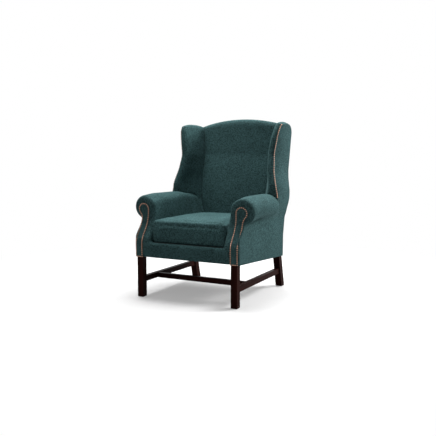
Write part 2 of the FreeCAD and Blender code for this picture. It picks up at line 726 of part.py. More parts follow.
def rounded_corner(before, corner, after, radius, steps):
    """Points that round a corner between two straight lines in straight steps."""
    back = (before - corner).normalize()
    on = (after - corner).normalize()
    half = back.getAngle(on) / 2
    centre = corner + (back + on).normalize() * (radius / math.sin(half))
    start = corner + back * (radius / math.tan(half)) - centre
    end = corner + on * (radius / math.tan(half)) - centre
    turn = start.getAngle(end)
    points = []
    for step in range(steps + 1):
        passed = turn * step / steps
        arm = (start * math.sin(turn - passed) + end * math.sin(passed)) / math.sin(turn)
        points.append(centre + arm)
    return points


def arm_wall_section(y, low, high, top):
    """Section of the arm under the roll: upright outer side, fuller foot inside and a rounded top."""
    upper = high + (high - low) / (ROLL_Z - ARM_BREAK_Z) * (top - ROLL_Z)
    outer_low = Vector(ARM_WALL_X, y, DECK_BOTTOM)
    outer_high = Vector(ARM_WALL_X, y, top)
    inner_high = Vector(upper, y, top)
    waist = Vector(low, y, ARM_BREAK_Z)
    foot = Vector(low, y, DECK_BOTTOM)
    crown = rounded_corner(outer_high, inner_high, waist, ARM_TOP_ROUND, ARM_TOP_STEPS)
    return [outer_low, outer_high] + crown + [waist, foot]


def arm_wall_ends():
    """Depths of the wall's first and last sections, before it is cut to the facing and the posts."""
    return FACING_FOOT_Y - MARGIN, post_front(ROLL_Z) + MARGIN


def arm_wall():
    """Padded wall between the seat and the roll, rounded on its top and along the S-curve in front."""
    front, rear = arm_wall_ends()
    share = (ARM_RIDGE_Y - front) / (rear - front)
    ridge_low = ARM_INNER_FRONT_LOW + (ARM_INNER_REAR_LOW - ARM_INNER_FRONT_LOW) * share
    ridge_high = ARM_INNER_FRONT_HIGH + (ARM_INNER_REAR_HIGH - ARM_INNER_FRONT_HIGH) * share
    wall = ruled([
        arm_wall_section(front, ARM_INNER_FRONT_LOW, ARM_INNER_FRONT_HIGH, ARM_TOP_FRONT),
        arm_wall_section(ARM_RIDGE_Y, ridge_low, ridge_high, ARM_TOP_RIDGE),
        arm_wall_section(rear, ARM_INNER_REAR_LOW, ARM_INNER_REAR_HIGH, ARM_TOP_REAR),
    ])
    wall = wall.common(behind_sweep(BAND_SETBACK, 0, ARM_WALL_X + MARGIN)).Solids[0]
    edges = [e for e in wall.Edges if is_inner_front(e)]
    return wall.makeChamfer(ARM_FRONT_ROUND, edges).common(before_posts())


def is_inner_front(edge):
    """True for the edges of the wall's front corner, along the S-curve and over its top."""
    bounds = edge.BoundBox
    inner = bounds.XMax < ARM_WALL_X - MARGIN
    return inner and bounds.ZLength > 0.5 and bounds.YMax < FACING_HEAD_Y + MARGIN


def before_posts():
    """Everything in front of the webbing on the back posts, above the seat rails."""
    shift = WEB_THICK + SOFT_CLEAR
    z0, z1 = DECK_BOTTOM, BEYOND
    bend = BACK_BEND_Z
    outline = [(-BEYOND, z0), (post_front(z0) - shift, z0), (post_front(bend) - shift, bend),
               (post_front(z1) - shift, z1), (-BEYOND, z1)]
    return side_prism(outline, -BEYOND, BEYOND)


def inside_arm(facing, roll, frame):
    """Padded wall of the arm below its roll, over the frame and behind the facing."""
    return cut_all(arm_wall(), [facing, roll] + frame)


def line_point(table, z):
    """Point (X, Y) on a broken line given as (Z, X, Y) rows, carried on past its ends."""
    rows = list(table)
    low, high = rows[0], rows[1]
    for first, second in zip(rows, rows[1:]):
        if z >= first[0]:
            low, high = first, second
    part = (z - low[0]) / (high[0] - low[0])
    return low[1] + (high[1] - low[1]) * part, low[2] + (high[2] - low[2]) * part


def wing_pad_section(row):
    """Level section of the wing's padding: rounded front edge, inner face, rear at the back post."""
    z, nail_x, nail_y, width, extra = row
    rear_y = post_front(z) - WEB_THICK - SOFT_CLEAR
    outer_x = nail_x + WING_NAIL_MARGIN - OUTER_PANEL / 2
    outer = Vector(outer_x, nail_y, z)
    inner = Vector(nail_x - width, nail_y + WING_FRONT_SLANT, z)
    front = (outer + inner) * 0.5 - Vector(0, WING_FRONT_BULGE, 0)
    join_x, join_y = line_point(WING_JUNCTION, z)
    slope = (join_x - inner.x) / (join_y - inner.y)
    rear_inner = Vector(join_x + slope * (rear_y - join_y), rear_y, z)
    panel_rear_x = HALF_WIDTH - OUTER_PANEL / 2
    share = (rear_y - nail_y) / (back_face(z) - nail_y)
    rear_outer = Vector(outer_x + (panel_rear_x - outer_x) * share, rear_y, z)
    middle = (inner + rear_inner) * 0.5
    inner_face = Vector(middle.x - WING_INNER_BULGE, middle.y, z)
    nose = stepped_arc(outer, front, inner, WING_FRONT_STEPS)
    return nose + stepped_arc(inner, inner_face, rear_inner, 2)[1:] + [rear_outer]


def wing_top_drum():
    """Cylinder across the chair whose upper side is the top line of both wings."""
    centre = Vector(-HALF_WIDTH - WING_TOP_RADIUS, WING_TOP_Y, WING_TOP - WING_TOP_RADIUS)
    return Part.makeCylinder(WING_TOP_RADIUS, -2 * centre.x, centre, Vector(1, 0, 0))


def wing_pad(tools):
    """Padding of the wing, from the arm up to its rounded top."""
    pad = skinned([wing_pad_section(row) for row in WING_SECTIONS])
    return cut_all(pad.common(wing_top_drum()), tools)


def outside_wing_section(row):
    """Level section of the outer wing panel, from the nail line to the back's edge."""
    z, nail_x, nail_y, width, extra = row
    outer_x = nail_x + WING_NAIL_MARGIN
    rear_x = HALF_WIDTH + extra
    return [Vector(outer_x, nail_y, z), Vector(rear_x, back_face(z), z),
            Vector(HALF_WIDTH - OUTER_PANEL, back_face(z), z), Vector(outer_x - OUTER_PANEL, nail_y, z)]


def outside_wing(tools):
    """Outer panel of the wing, running down past the end of the roll."""
    panel = skinned([outside_wing_section(row) for row in WING_SECTIONS])
    return cut_all(panel.common(wing_top_drum()), tools)


def wing_post():
    """Curved post inside the wing's front edge, standing on the arm rail."""
    sections = []
    low = ARM_RAIL_Z + ARM_RAIL_HEIGHT
    between_ends = [row[0] for row in WING_NAILS
                    if low + WING_POST_SPACING < row[0] < WING_POST_TOP - WING_POST_SPACING]
    for z in [low] + between_ends + [WING_POST_TOP]:
        nail_x, nail_y = line_point(WING_NAILS, z)
        x1 = nail_x - OUTER_PANEL - WING_POST_CLEAR
        if z == low:
            x1 = ARM_RAIL_INNER_X + ARM_RAIL_THICK
        x0 = x1 - WING_POST_THICK
        y0 = nail_y + WING_POST_SETBACK
        y1 = y0 + WING_POST_DEPTH
        corners = [Vector(x0, y0, z), Vector(x1, y0, z), Vector(x1, y1, z), Vector(x0, y1, z)]
        sections.append(Part.makePolygon(corners + corners[:1]))
    return Part.makeLoft(sections, True, True)


def wing_rail():
    """Rail from the wing post's top back to the crest rail's end."""
    nail_x, nail_y = line_point(WING_NAILS, WING_POST_TOP)
    x1 = nail_x - OUTER_PANEL - WING_POST_CLEAR
    front = nail_y + WING_POST_SETBACK + WING_POST_DEPTH
    z0, z1 = WING_POST_TOP - WING_RAIL_HEIGHT, WING_POST_TOP
    bar = []
    for y, x in ((front - WING_POST_DEPTH / 2, x1), (post_front(z0) + POST_DEPTH / 2, REAR_LEG_X)):
        corners = [Vector(x - WING_RAIL_THICK, y, z0), Vector(x, y, z0), Vector(x, y, z1),
                   Vector(x - WING_RAIL_THICK, y, z1)]
        bar.append(Part.makePolygon(corners + corners[:1]))
    rail = Part.makeLoft(bar, True, True)
    stop = [(0, LOWER_BACK_RAIL_Z), (post_front(LOWER_BACK_RAIL_Z), LOWER_BACK_RAIL_Z),
            (post_front(BEYOND), BEYOND), (0, BEYOND)]
    return cut_all(rail.common(side_prism(stop, 0, BEYOND)), [wing_post()])


def inside_back_profile():
    """Upright section of the back's front at the middle: seat stretch, hollow and leaning face."""
    z0 = DECK_TOP + SOFT_CLEAR
    rear_y = BACK_FACE_Y + HALF_WIDTH
    foot = Vector(0, INSIDE_BACK_FOOT_Y, z0)
    bend = Vector(0, INSIDE_BACK_FOOT_Y, INSIDE_BACK_BREAK_Z)
    middle_z = wing_height(INSIDE_BACK_MIDDLE)
    middle = Vector(0, back_face(middle_z) - INSIDE_BACK_THICK, middle_z)
    brow = Vector(0, back_face(INSIDE_BACK_BROW) - INSIDE_BACK_THICK, INSIDE_BACK_BROW)
    full = Vector(0, (bend.y + middle.y) / 2 - INSIDE_BACK_BULGE, (bend.z + middle.z) / 2)
    lean = (brow.y - middle.y) / (brow.z - middle.z)
    top = Vector(0, brow.y + lean * (BROW_DROP + MARGIN), CREST_TOP + MARGIN)
    edges = [
        Part.makeLine(foot, bend),
        arc(bend, full, middle),
        Part.makeLine(middle, top),
        Part.makeLine(top, Vector(0, rear_y, top.z)),
        Part.makeLine(Vector(0, rear_y, top.z), Vector(0, rear_y, z0)),
        Part.makeLine(Vector(0, rear_y, z0), foot),
    ]
    return Part.Face(Part.Wire(edges))


def padding_space():
    """Side outline in front of the posts and over the crest rail, drawn across the chair."""
    z0, bend, step, z1 = DECK_TOP, BACK_BEND_Z, CREST_RAIL_BOTTOM, BEYOND
    outline = [(0, z0), (post_front(z0) - WEB_THICK, z0), (post_front(bend) - WEB_THICK, bend),
               (post_front(step) - WEB_THICK, step),
               (back_face(step) - BACK_PANEL, step), (back_face(z1) - BACK_PANEL, z1), (0, z1)]
    return side_prism(outline, -BEYOND, BEYOND)


def inside_back(tools):
    """Padding of the back, crowned across its width and rolled over the crest rail."""
    half = HALF_WIDTH - OUTER_PANEL - SOFT_CLEAR
    axis = Vector(0, INSIDE_BACK_AXIS_Y, 0)
    swing = math.degrees(math.asin(half / (INSIDE_BACK_AXIS_Y - BACK_FACE_Y))) + 2
    profile = inside_back_profile()
    profile.rotate(axis, Vector(0, 0, 1), -swing)
    pad = profile.revolve(axis, Vector(0, 0, 1), 2 * swing)
    pad = pad.common(padding_space()).common(arch_prism(half, DECK_TOP, 0)).removeSplitter()
    front, rear = crest_edges(pad)
    pad = pad.makeChamfer(CREST_FRONT_ROUND, front)
    front, rear = crest_edges(pad)
    pad = pad.makeChamfer(CREST_REAR_ROUND, rear)
    return cut_all(pad, tools)


def crest_edges(pad):
    """Long edges of the crest's arch, sorted into front and rear."""
    low = CREST_RAIL_BOTTOM + CREST_PAD
    long = [e for e in pad.Edges if e.BoundBox.XLength > HALF_WIDTH and e.BoundBox.ZMin > low]
    middle = back_face(CREST_TOP) - INSIDE_BACK_THICK / 2
    front = [e for e in long if e.BoundBox.YMin < middle]
    rear = [e for e in long if e.BoundBox.YMin >= middle]
    return front, rear


def outside_back(legs):
    """Panel over the back of the posts, from the rear rail up to the crest."""
    z0, z1 = SIDE_BOTTOM_REAR, CREST_TOP
    outer = [(BACK_FACE_Y, z0), (BACK_FACE_Y, BACK_BEND_Z), (back_face(z1), z1)]
    inner = [(y - BACK_PANEL, z) for y, z in reversed(outer)]
    half = HALF_WIDTH - OUTER_PANEL - SOFT_CLEAR
    panel = side_prism(outer + inner, -half, half)
    return cut_all(panel.common(arch_prism(half, 0, CREST_SEAM_DROP)), legs)


def outside_arm(tools):
    """Outer panel of the arm, from the facing to the back and from the roll down below the rail."""
    x0 = SEAT_RAIL_OUTER_X
    top = WING_FOOT - SOFT_CLEAR
    wing_front = WING_NAILS[0][2]
    front, low, high = sweep_edges(FACING_THICK, SIDE_BOTTOM_FRONT, WING_FOOT + ROLL_COVERED, x0)
    outline = [(wing_front, high.z), (wing_front, top), (back_face(top), top),
               (BACK_FACE_Y, BACK_BEND_Z), (BACK_FACE_Y, SIDE_BOTTOM_REAR)]
    ring = [high] + [Vector(x0, y, z) for y, z in outline] + [low]
    edges = front + [Part.makeLine(a, b) for a, b in zip(ring, ring[1:])]
    panel = edges_prism(edges, Vector(HALF_WIDTH - x0, 0, 0))
    return cut_all(panel, tools)


def front_border(arms):
    """Padded panel over the front rail, rolled back over its top to the deck."""
    x0, x1 = -FACING_INNER_X + SOFT_CLEAR, FACING_INNER_X - SOFT_CLEAR
    y0, y1 = FACING_FOOT_Y + BORDER_SETBACK, RAIL_FRONT_Y + RAIL_THICK
    z0, z1 = BORDER_BOTTOM, DECK_TOP
    over = DECK_BOTTOM + SOFT_CLEAR
    edge = BORDER_EDGE
    cut = edge * (1 - math.sqrt(0.5))
    foot = Vector(x0, y0, z0)
    shoulder = Vector(x0, y0, z1 - edge)
    top = Vector(x0, y0 + edge, z1)
    outline = [(y1, z1), (y1, over), (RAIL_FRONT_Y, over), (RAIL_FRONT_Y, z0)]
    ring = [top] + [Vector(x0, y, z) for y, z in outline] + [foot]
    edges = [
        arc(foot, Vector(x0, y0 - BORDER_CROWN, (z0 + z1) / 2), shoulder),
        arc(shoulder, Vector(x0, y0 + cut, z1 - cut), top),
    ]
    edges += [Part.makeLine(a, b) for a, b in zip(ring, ring[1:])]
    return cut_all(edges_prism(edges, Vector(x1 - x0, 0, 0)), arms)


def seat_deck(arms):
    """Thin pad over the webbing, between the arms, under the loose cushion."""
    front = RAIL_FRONT_Y + RAIL_THICK + SOFT_CLEAR
    rear = post_front(BACK_BEND_Z) - WEB_THICK - 2 * SOFT_CLEAR
    wide = SEAT_RAIL_INNER_X
    pad = box(-wide, wide, front, rear, DECK_BOTTOM, DECK_TOP)
    return cut_all(pad, arms)


def dust_cover():
    """Cloth tacked under the seat rails, sloping with the side rails."""
    front = RAIL_FRONT_Y + RAIL_THICK / 2
    rear = rear_rail_front() + REAR_RAIL_THICK / 2
    slope = (RAIL_REAR_BOTTOM - RAIL_FRONT_BOTTOM) / (rear_leg_front(RAIL_REAR_BOTTOM) - LEG_BLOCK_REAR_Y)
    half = LEG_INNER_X - SOFT_CLEAR
    points = []
    for y in (front, LEG_BLOCK_REAR_Y, rear_leg_front(RAIL_REAR_BOTTOM), rear):
        inside = min(max(y, LEG_BLOCK_REAR_Y), rear_leg_front(RAIL_REAR_BOTTOM))
        points.append((y, RAIL_FRONT_BOTTOM + slope * (inside - LEG_BLOCK_REAR_Y)))
    lower = [(y, z - DUST_COVER) for y, z in reversed(points)]
    return side_prism(points + lower, -half, half)


def arm_inner_x(y):
    """Inner face of the arm's foot at depth y."""
    front, rear = arm_wall_ends()
    part = (y - front) / (rear - front)
    return ARM_INNER_FRONT_LOW + (ARM_INNER_REAR_LOW - ARM_INNER_FRONT_LOW) * part


def cushion_section(part, inset):
    """Upright section of the cushion at a share of its depth: flat base, full sides, crowned top."""
    y = CUSHION_FRONT_Y + (CUSHION_REAR_Y - CUSHION_FRONT_Y) * part
    rise = math.sin(math.pi * part)
    half = arm_inner_x(y) - CUSHION_SIDE_GAP - CUSHION_SIDE_BULGE - CUSHION_DRAW * rise - inset
    z0 = DECK_TOP + CUSHION_CLEAR + inset * 0.5
    z1 = CUSHION_FRONT_TOP + (CUSHION_REAR_TOP - CUSHION_FRONT_TOP) * part - inset
    crown = CUSHION_FRONT_CROWN + (CUSHION_CROWN - CUSHION_FRONT_CROWN) * math.sqrt(rise)
    base = z0 + CUSHION_EDGE
    middle_z = (base + z1) / 2
    shoulder = half - CUSHION_SHOULDER
    foot, low, high = Vector(half - CUSHION_EDGE, y, z0), Vector(half, y, base), Vector(half, y, z1)
    under = Vector(half - CUSHION_EDGE * 0.3, y, z0 + CUSHION_EDGE * 0.3)
    full = Vector(half + CUSHION_SIDE_BULGE, y, middle_z)
    over = Vector(half - CUSHION_SHOULDER * 0.4, y, z1 + crown * 0.5)
    flat = Vector(shoulder, y, z1 + crown * 0.8)
    right = stepped_arc(foot, under, low, 2) + stepped_arc(low, full, high, 2)[1:]
    right += stepped_arc(high, over, flat, 3)[1:]
    left = [Vector(-point.x, y, point.z) for point in reversed(right)]
    return right + [Vector(0, y, z1 + crown)] + left


def seat_cushion():
    """Loose box cushion, narrower at the rear, crowned, with sides drawn in between its corners."""
    edge = CUSHION_EDGE
    soft = edge / (CUSHION_REAR_Y - CUSHION_FRONT_Y)
    front = [(0, edge), (soft * 0.3, edge * 0.3)]
    middle = [(part, 0) for part in (soft, *CUSHION_STATIONS, 1 - soft)]
    rear = [(1 - part, inset) for part, inset in reversed(front)]
    return skinned([cushion_section(part, inset) for part, inset in front + middle + rear])


def glide(x, y):
    """Square glide under a leg."""
    half = GLIDE_WIDTH / 2
    return box(x - half, x + half, y - half, y + half, 0, GLIDE_HEIGHT)


def write_legs():
    """Legs with their mortises, glides and stretchers."""
    stretcher = side_stretcher()
    cross = cross_stretcher()
    write_pair("front_leg", front_leg().cut(stretcher).removeSplitter())
    write_pair("rear_leg", rear_leg().cut(stretcher).removeSplitter())
    write_pair("side_stretcher", stretcher.cut(cross).removeSplitter())
    write("cross_stretcher", cross)
    write_pair("front_glide", glide(LEG_OUTER_X - FRONT_LEG / 2, FRONT_LEG / 2))
    rear_y = rear_leg_front(GLIDE_HEIGHT) + REAR_LEG_DEPTH / 2
    write_pair("rear_glide", glide(REAR_LEG_X - REAR_LEG_WIDTH / 2, rear_y))


def write_frame(posts):
    """Hidden frame, webbing and dust cover."""
    write("front_rail", front_rail())
    write("rear_rail", rear_rail())
    write_pair("side_rail", side_rail())
    write_pair("front_corner_block", front_corner_block())
    write_pair("rear_corner_block", rear_corner_block())
    write("crest_rail", crest_rail())
    write("lower_back_rail", lower_back_rail())
    for name, shape in posts.items():
        write_pair(name, shape)
    write("seat_webbing", seat_webbing())
    write("back_webbing", back_webbing())
    write("dust_cover", dust_cover())


def write_upholstery(posts):
    """Padding, panels and the loose cushion."""
    frame = list(posts.values())
    facing = arm_facing()
    roll = arm_roll(facing, frame)
    arm = inside_arm(facing, roll, frame)
    panel = outside_wing([roll] + frame)
    wing = wing_pad([roll, arm, panel] + frame)
    sides = [roll, arm, wing, panel] + frame
    both = sides + [mirrored(shape) for shape in sides] + [crest_rail()]
    leg = rear_leg()
    write_pair("arm_facing", facing)
    write_pair("arm_roll", roll)
    write_pair("inside_arm", arm)
    write_pair("wing_pad", wing)
    write_pair("outside_wing", panel)
    write_pair("outside_arm", outside_arm([roll, facing, wing, panel] + frame))
    write("inside_back", inside_back(both))
    write("outside_back", outside_back([leg, mirrored(leg)]))
    write("front_border", front_border([arm, mirrored(arm)]))
    write("seat_deck", seat_deck([arm, mirrored(arm)]))
    write("seat_cushion", seat_cushion())


def main():
    os.makedirs("parts", exist_ok=True)
    posts = {
        "back_post": back_post(),
        "arm_post": arm_post(),
        "arm_rail": arm_rail(),
        "lower_arm_rail": lower_arm_rail(),
        "wing_post": wing_post(),
        "wing_rail": wing_rail(),
    }
    write_legs()
    write_frame(posts)
    write_upholstery(posts)


main()
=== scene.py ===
"""Wing armchair in teal velvet: covers, cushion, nails, wood finish, studio and camera.

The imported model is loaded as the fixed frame. Sizes in this file are millimetres unless they say
otherwise, depths are measured from the front of the front legs, and at() turns them into metres.
"""
import math
import bmesh
import bpy
from bpy.props import FloatProperty, FloatVectorProperty, IntProperty, PointerProperty
from mathutils import Matrix, Vector
from mathutils.bvhtree import BVHTree
from mathutils.kdtree import KDTree


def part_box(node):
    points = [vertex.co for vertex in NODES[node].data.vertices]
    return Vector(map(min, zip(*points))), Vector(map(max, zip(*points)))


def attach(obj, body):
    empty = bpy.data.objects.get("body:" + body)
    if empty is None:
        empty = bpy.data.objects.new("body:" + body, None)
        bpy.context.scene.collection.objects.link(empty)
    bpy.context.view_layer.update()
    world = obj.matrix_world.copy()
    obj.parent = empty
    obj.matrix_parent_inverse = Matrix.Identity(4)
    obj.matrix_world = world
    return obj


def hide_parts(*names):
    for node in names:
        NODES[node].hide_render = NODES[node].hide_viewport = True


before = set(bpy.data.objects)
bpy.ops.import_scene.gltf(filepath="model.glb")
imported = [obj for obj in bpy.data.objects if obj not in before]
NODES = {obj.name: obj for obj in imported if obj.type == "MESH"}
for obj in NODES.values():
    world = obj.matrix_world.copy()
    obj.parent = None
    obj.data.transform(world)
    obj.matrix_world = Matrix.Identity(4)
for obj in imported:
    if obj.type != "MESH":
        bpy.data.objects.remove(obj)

bl_info = {
    "name": "Wing Armchair",
    "version": (1, 0, 0),
    "blender": (4, 5, 0),
    "location": "View3D > Sidebar > Armchair",
    "description": "Dresses the frame of a wing armchair with its covers, nails and finishes",
    "category": "Object",
}

BODY = "chair"
LEG_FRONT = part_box("front_leg_left")[0].y
SIDES = (("left", -1), ("right", 1))

# Facing: its S-curve in side view as (height, depth), its outline and its head as (X, height, radius)
SWEEP = (
    (249, -5), (300, -6), (335, -6), (350, -4.6), (362, -0.8), (380, 9), (400, 23), (420, 37),
    (440, 48.6), (460, 57.2), (480, 63.2), (500, 66.6), (520, 68), (545, 67.3), (575, 64.9), (620, 60.8),
)
FACING_INNER = 293.4
FACING_OUTER = 345.5
FACING_FOOT = 249.5
FACING_PUFF = 3.2
FACING_FADE = (22, 26)
HEAD = (331.0, 535.0, 38.5)
NECK_ANGLE = -52.0
NECK_FOOT = 478.0
NECK_PASS = (470, 520)
NECK_HALF = 26.0
SEAM_DEPTH = 2.2
SEAM_REACH = 8.0

# Wing by height: nail line X and depth, extra X of the rear edge
WING = (
    (470, 351, 479, 2), (500, 362, 476.5, 7), (531, 371, 474.5, 12), (563, 376.5, 474, 18),
    (596, 379.5, 474, 22), (635, 379, 473, 21), (660, 376, 473, 18), (680, 373, 474, 14),
    (700, 368.5, 477.5, 11), (735, 358, 487, 5), (765, 349, 498.5, 2), (788, 343.5, 508, 0),
    (815, 339.5, 517, 0), (845, 337, 525, 0), (880, 338, 531, 0), (920, 343, 535.5, 0),
    (960, 350, 539, 0), (1000, 358, 544, 0), (1030, 364, 554, 0), (1050, 369, 572, 0),
    (1075, 376, 596, 0),
)
WING_TOP = (667.0, 1071.0, 357.0)
WING_CROWN = 3.5
BACK_CROWN = 4.0
CREST = (1106.0, 1130.0)

# Outer covers: their faces, then the heights over which they pass from arm to wing
SIDE_X = 350.0
SIDE_LOW = 209.0
SIDE_FOOT = ((-6, 250.5), (666, 208.5))
BACK_FACE = 666.0
BACK_FOOT = 208.5
BACK_BEND = 345.0
BACK_LEAN = 0.19
COVER_THICK = 6.0
BACK_COVER_THICK = 5.0
FRONT_PASS = (486, 606)
NAIL_PASS = (455, 520)
REAR_PASS = (455, 500)
HIP_RISE = (600, 655)
HIP_FALL = (745, 690)
WING_PASS = (600, 700)
HIP = 9.0
ARM_FULL = 3.0
WING_FULL = 5.0
BACK_FULL = 2.5

# Their edges: gaps and turns, and pairs of how far an edge gives way and over what length
FRONT_GAP = 1.5
NAIL_GAP = 4.5
CREST_GAP = 13
BACK_GAP = 3
FRONT_TURN = 6
HIP_TURN = 12
TOP_TURN = 14
WING_HOLLOW = (13, 95)
REAR_CORNER = (16, 34)
CREST_CURL = (15, 9)
BACK_TUCK = (4, 6)

# Webbing, deck and dust cover; edges are shares of the cloth
WEB_WIDTH = 50.0
WEB_THICK = 1.6
WEAVE_LIFT = 0.9
STRAP_HALF_SPAN = 316.0
STRAP_DEPTHS = (34.0, 622.9)
BACK_STRAP_HEIGHTS = (437, 985)
BACK_STRAP_DEEP = 43.0
DECK_DEPTHS = (28.0, 622.0)
DECK_HALVES = (251.5, 204.0)
DECK_TOP = 338.3
DECK_EDGE = 0.03
DECK_EDGE_DROP = 2.6
DECK_THICK = 1.6
RAIL_DEPTHS = (46.2, 617)
RAIL_FOOT = 252
RAIL_DROP = 38
DUST_GAP = 0.6
DUST_SAG = 3.0
DUST_EDGE = 0.12
DUST_RUCK = 0.5
DUST_WAVES = (41, 29)
DUST_THICK = 0.8

# Skins, in metres: voxels, where the wings' and the back's crowns rise, how far the cushion's filling
# may push, and the height and share of the pinch at its lower edge
FACING_VOXEL = 0.0024
FACING_LINE_STEP = 0.003
WING_OUTER = (0.29, 0.35)
WING_RISE = (1.0, 1.06)
BACK_RISE = (1.02, 1.06)
CUSHION_VOXEL = 0.005
CUSHION_LIMIT = 0.005
PINCH_HEIGHT = 0.009
PINCH = 0.01

# Nails: a head's profile as shares of its radius and rise, and the places of the lines
DOME = ((0.0, 1.0), (0.42, 0.93), (0.8, 0.55), (1.0, 0.08))
NAIL_INSET = 5.0
NAIL_FOOT = FACING_FOOT + 3
NAIL_SINK = 0.6
NAIL_SIDES = 9
PATH_STEP = 4
WING_NAIL_HEIGHTS = (606.0, 1062)
WING_NAIL_SHIFT = (2.4, 1.4)
WING_NAIL_WAY = (0.82, -0.57, 0)

# Studio, in metres, watts and degrees: lamps as (name, place, height aimed at, size, power)
LAMPS = (
    ("key", (3.3, 2.9, 3.1), 0.6, 2.0, 360),
    ("top", (-0.5, 0.5, 3.3), 0.5, 2.0, 170),
    ("fill", (-2.0, -4.6, 2.2), 0.6, 2.4, 20),
)
WORLD_STRENGTH = 0.22
FLOOR_SIZE = 30.0
FLOOR_GREY = (0.32, 0.32, 0.32)
FLOOR_SEEN = (0.8, 0.8, 0.8)
FLOOR_FADE = (0.8, 2.2)
FLOOR_SHARE = (0.3, 1.0)
CAMERA_LENS = 47.35
CAMERA_SENSOR = 36.0
CAMERA_PLACE = (1701.2, -2832.3, 838.8)
CAMERA_TURN = (90 - 5.85, 0, 27.65)


class ArmchairSettings(bpy.types.PropertyGroup):
    """Sizes and colours that a user would change."""
    nail_diameter: FloatProperty(
        name="Nail diameter", description="Diameter of a domed nail head", default=0.0083,
        min=0.004, max=0.02, subtype="DISTANCE", unit="LENGTH")
    nail_rise: FloatProperty(
        name="Nail rise", description="Height of a nail head's dome", default=0.0036,
        min=0.001, max=0.01, subtype="DISTANCE", unit="LENGTH")
    nail_pitch: FloatProperty(
        name="Nail pitch", description="Distance from one nail to the next", default=0.0119,
        min=0.006, max=0.04, subtype="DISTANCE", unit="LENGTH")
    voxel: FloatProperty(
        name="Padding voxel", description="Voxel size used when padding is remeshed", default=0.0045,
        min=0.003, max=0.01, subtype="DISTANCE", unit="LENGTH")
    cushion_pressure: FloatProperty(
        name="Cushion pressure", description="Pressure that fills the seat cushion", default=4.0,
        min=0.0, max=20.0)
    cushion_steps: IntProperty(
        name="Cushion steps", description="Frames of the cushion's simulation", default=20,
        min=1, max=60)
    velvet_color: FloatVectorProperty(
        name="Velvet", description="Colour of the velvet", default=(0.0335, 0.0720, 0.0740),
        size=3, min=0.0, max=1.0, subtype="COLOR")
    wood_color: FloatVectorProperty(
        name="Mahogany", description="Colour of the show wood", default=(0.0100, 0.0021, 0.0014),
        size=3, min=0.0, max=1.0, subtype="COLOR")
    nail_color: FloatVectorProperty(
        name="Nail brass", description="Colour of the antiqued nails", default=(0.62, 0.36, 0.26),
        size=3, min=0.0, max=1.0, subtype="COLOR")


def settings():
    """The scene's armchair settings."""
    return bpy.context.scene.armchair


# Places and curves

def at(x, y, z):
    """Point in metres of the frame, from millimetres with the depth measured from the front legs."""
    return Vector((x / 1000, LEG_FRONT + y / 1000, z / 1000))


def trace(rows, t):
    """Smooth curve through rows of (t, values...), as a tuple of the values at t."""
    last = len(rows) - 1
    t = min(max(t, rows[0][0]), rows[last][0])
    i = next(n for n in range(last) if t <= rows[n + 1][0])
    a, b = rows[i], rows[i + 1]
    before, after = rows[max(i - 1, 0)], rows[min(i + 2, last)]
    span = b[0] - a[0]
    s = (t - a[0]) / span
    values = []
    for p0, p1, p2, p3 in zip(before[1:], a[1:], b[1:], after[1:]):
        slope_a = (p2 - p0) / (b[0] - before[0]) * span
        slope_b = (p3 - p1) / (after[0] - a[0]) * span
        h = (2 * p1 - 2 * p2 + slope_a + slope_b, -3 * p1 + 3 * p2 - 2 * slope_a - slope_b, slope_a, p1)
        values.append(((h[0] * s + h[1]) * s + h[2]) * s + h[3])
    return tuple(values)


def ease(low, high, value):
    """Smooth step from 0 at low to 1 at high."""
    s = min(max((value - low) / (high - low), 0.0), 1.0)
    return s * s * (3 - 2 * s)


def front_of(z):
    """Depth of the facing's S-curve at height z."""
    return trace(SWEEP, z)[0]


def back_of(z):
    """Depth of the outer back at height z."""
    return BACK_FACE + BACK_LEAN * max(0.0, z - BACK_BEND)


def wing_top(y):
    """Height of the wing's top line at depth y."""
    centre, top, radius = WING_TOP
    away = min(abs(y - centre), 0.6 * radius)
    return top - radius + math.sqrt(radius ** 2 - away ** 2)


def crest_of(x):
    """Height of the crest's arch at X."""
    top, radius = CREST
    return top - radius + math.sqrt(radius ** 2 - x ** 2)


# Meshes

def scene_object(name, bm):
    """Object in the scene from a finished bmesh, which is freed."""
    mesh = bpy.data.meshes.new(name)
    bm.to_mesh(mesh)
    bm.free()
    obj = bpy.data.objects.new(name, mesh)
    bpy.context.scene.collection.objects.link(obj)
    return obj


def new_piece(name, bm, material, replaced=(), body=BODY):
    """Piece from a finished bmesh, riding on its body and standing for the CAD nodes it replaces."""
    obj = scene_object(name, bm)
    for polygon in obj.data.polygons:
        polygon.use_smooth = True
    obj.data.materials.append(material)
    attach(obj, body)
    if replaced:
        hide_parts(*replaced)
    return obj


def apply_modifiers(obj):
    """Replace the object's mesh by its evaluated one and drop the modifiers."""
    depsgraph = bpy.context.evaluated_depsgraph_get()
    mesh = bpy.data.meshes.new_from_object(obj.evaluated_get(depsgraph))
    obj.modifiers.clear()
    old = obj.data
    obj.data = mesh
    bpy.data.meshes.remove(old)


def add_to(bm, part):
    """Add a finished bmesh's geometry to another and free it."""
    mesh = bpy.data.meshes.new("part")
    part.to_mesh(mesh)
    part.free()
    bm.from_mesh(mesh)
    bpy.data.meshes.remove(mesh)


def shaped_grid(columns, rows, place):
    """Grid whose vertices are put where place(u, v) says, u along the columns and v along the rows."""
    bm = bmesh.new()
    bmesh.ops.create_grid(bm, x_segments=columns, y_segments=rows, size=0.5, calc_uvs=True)
    for vert in bm.verts:
        vert.co = place(vert.co.x + 0.5, vert.co.y + 0.5)
    return bm


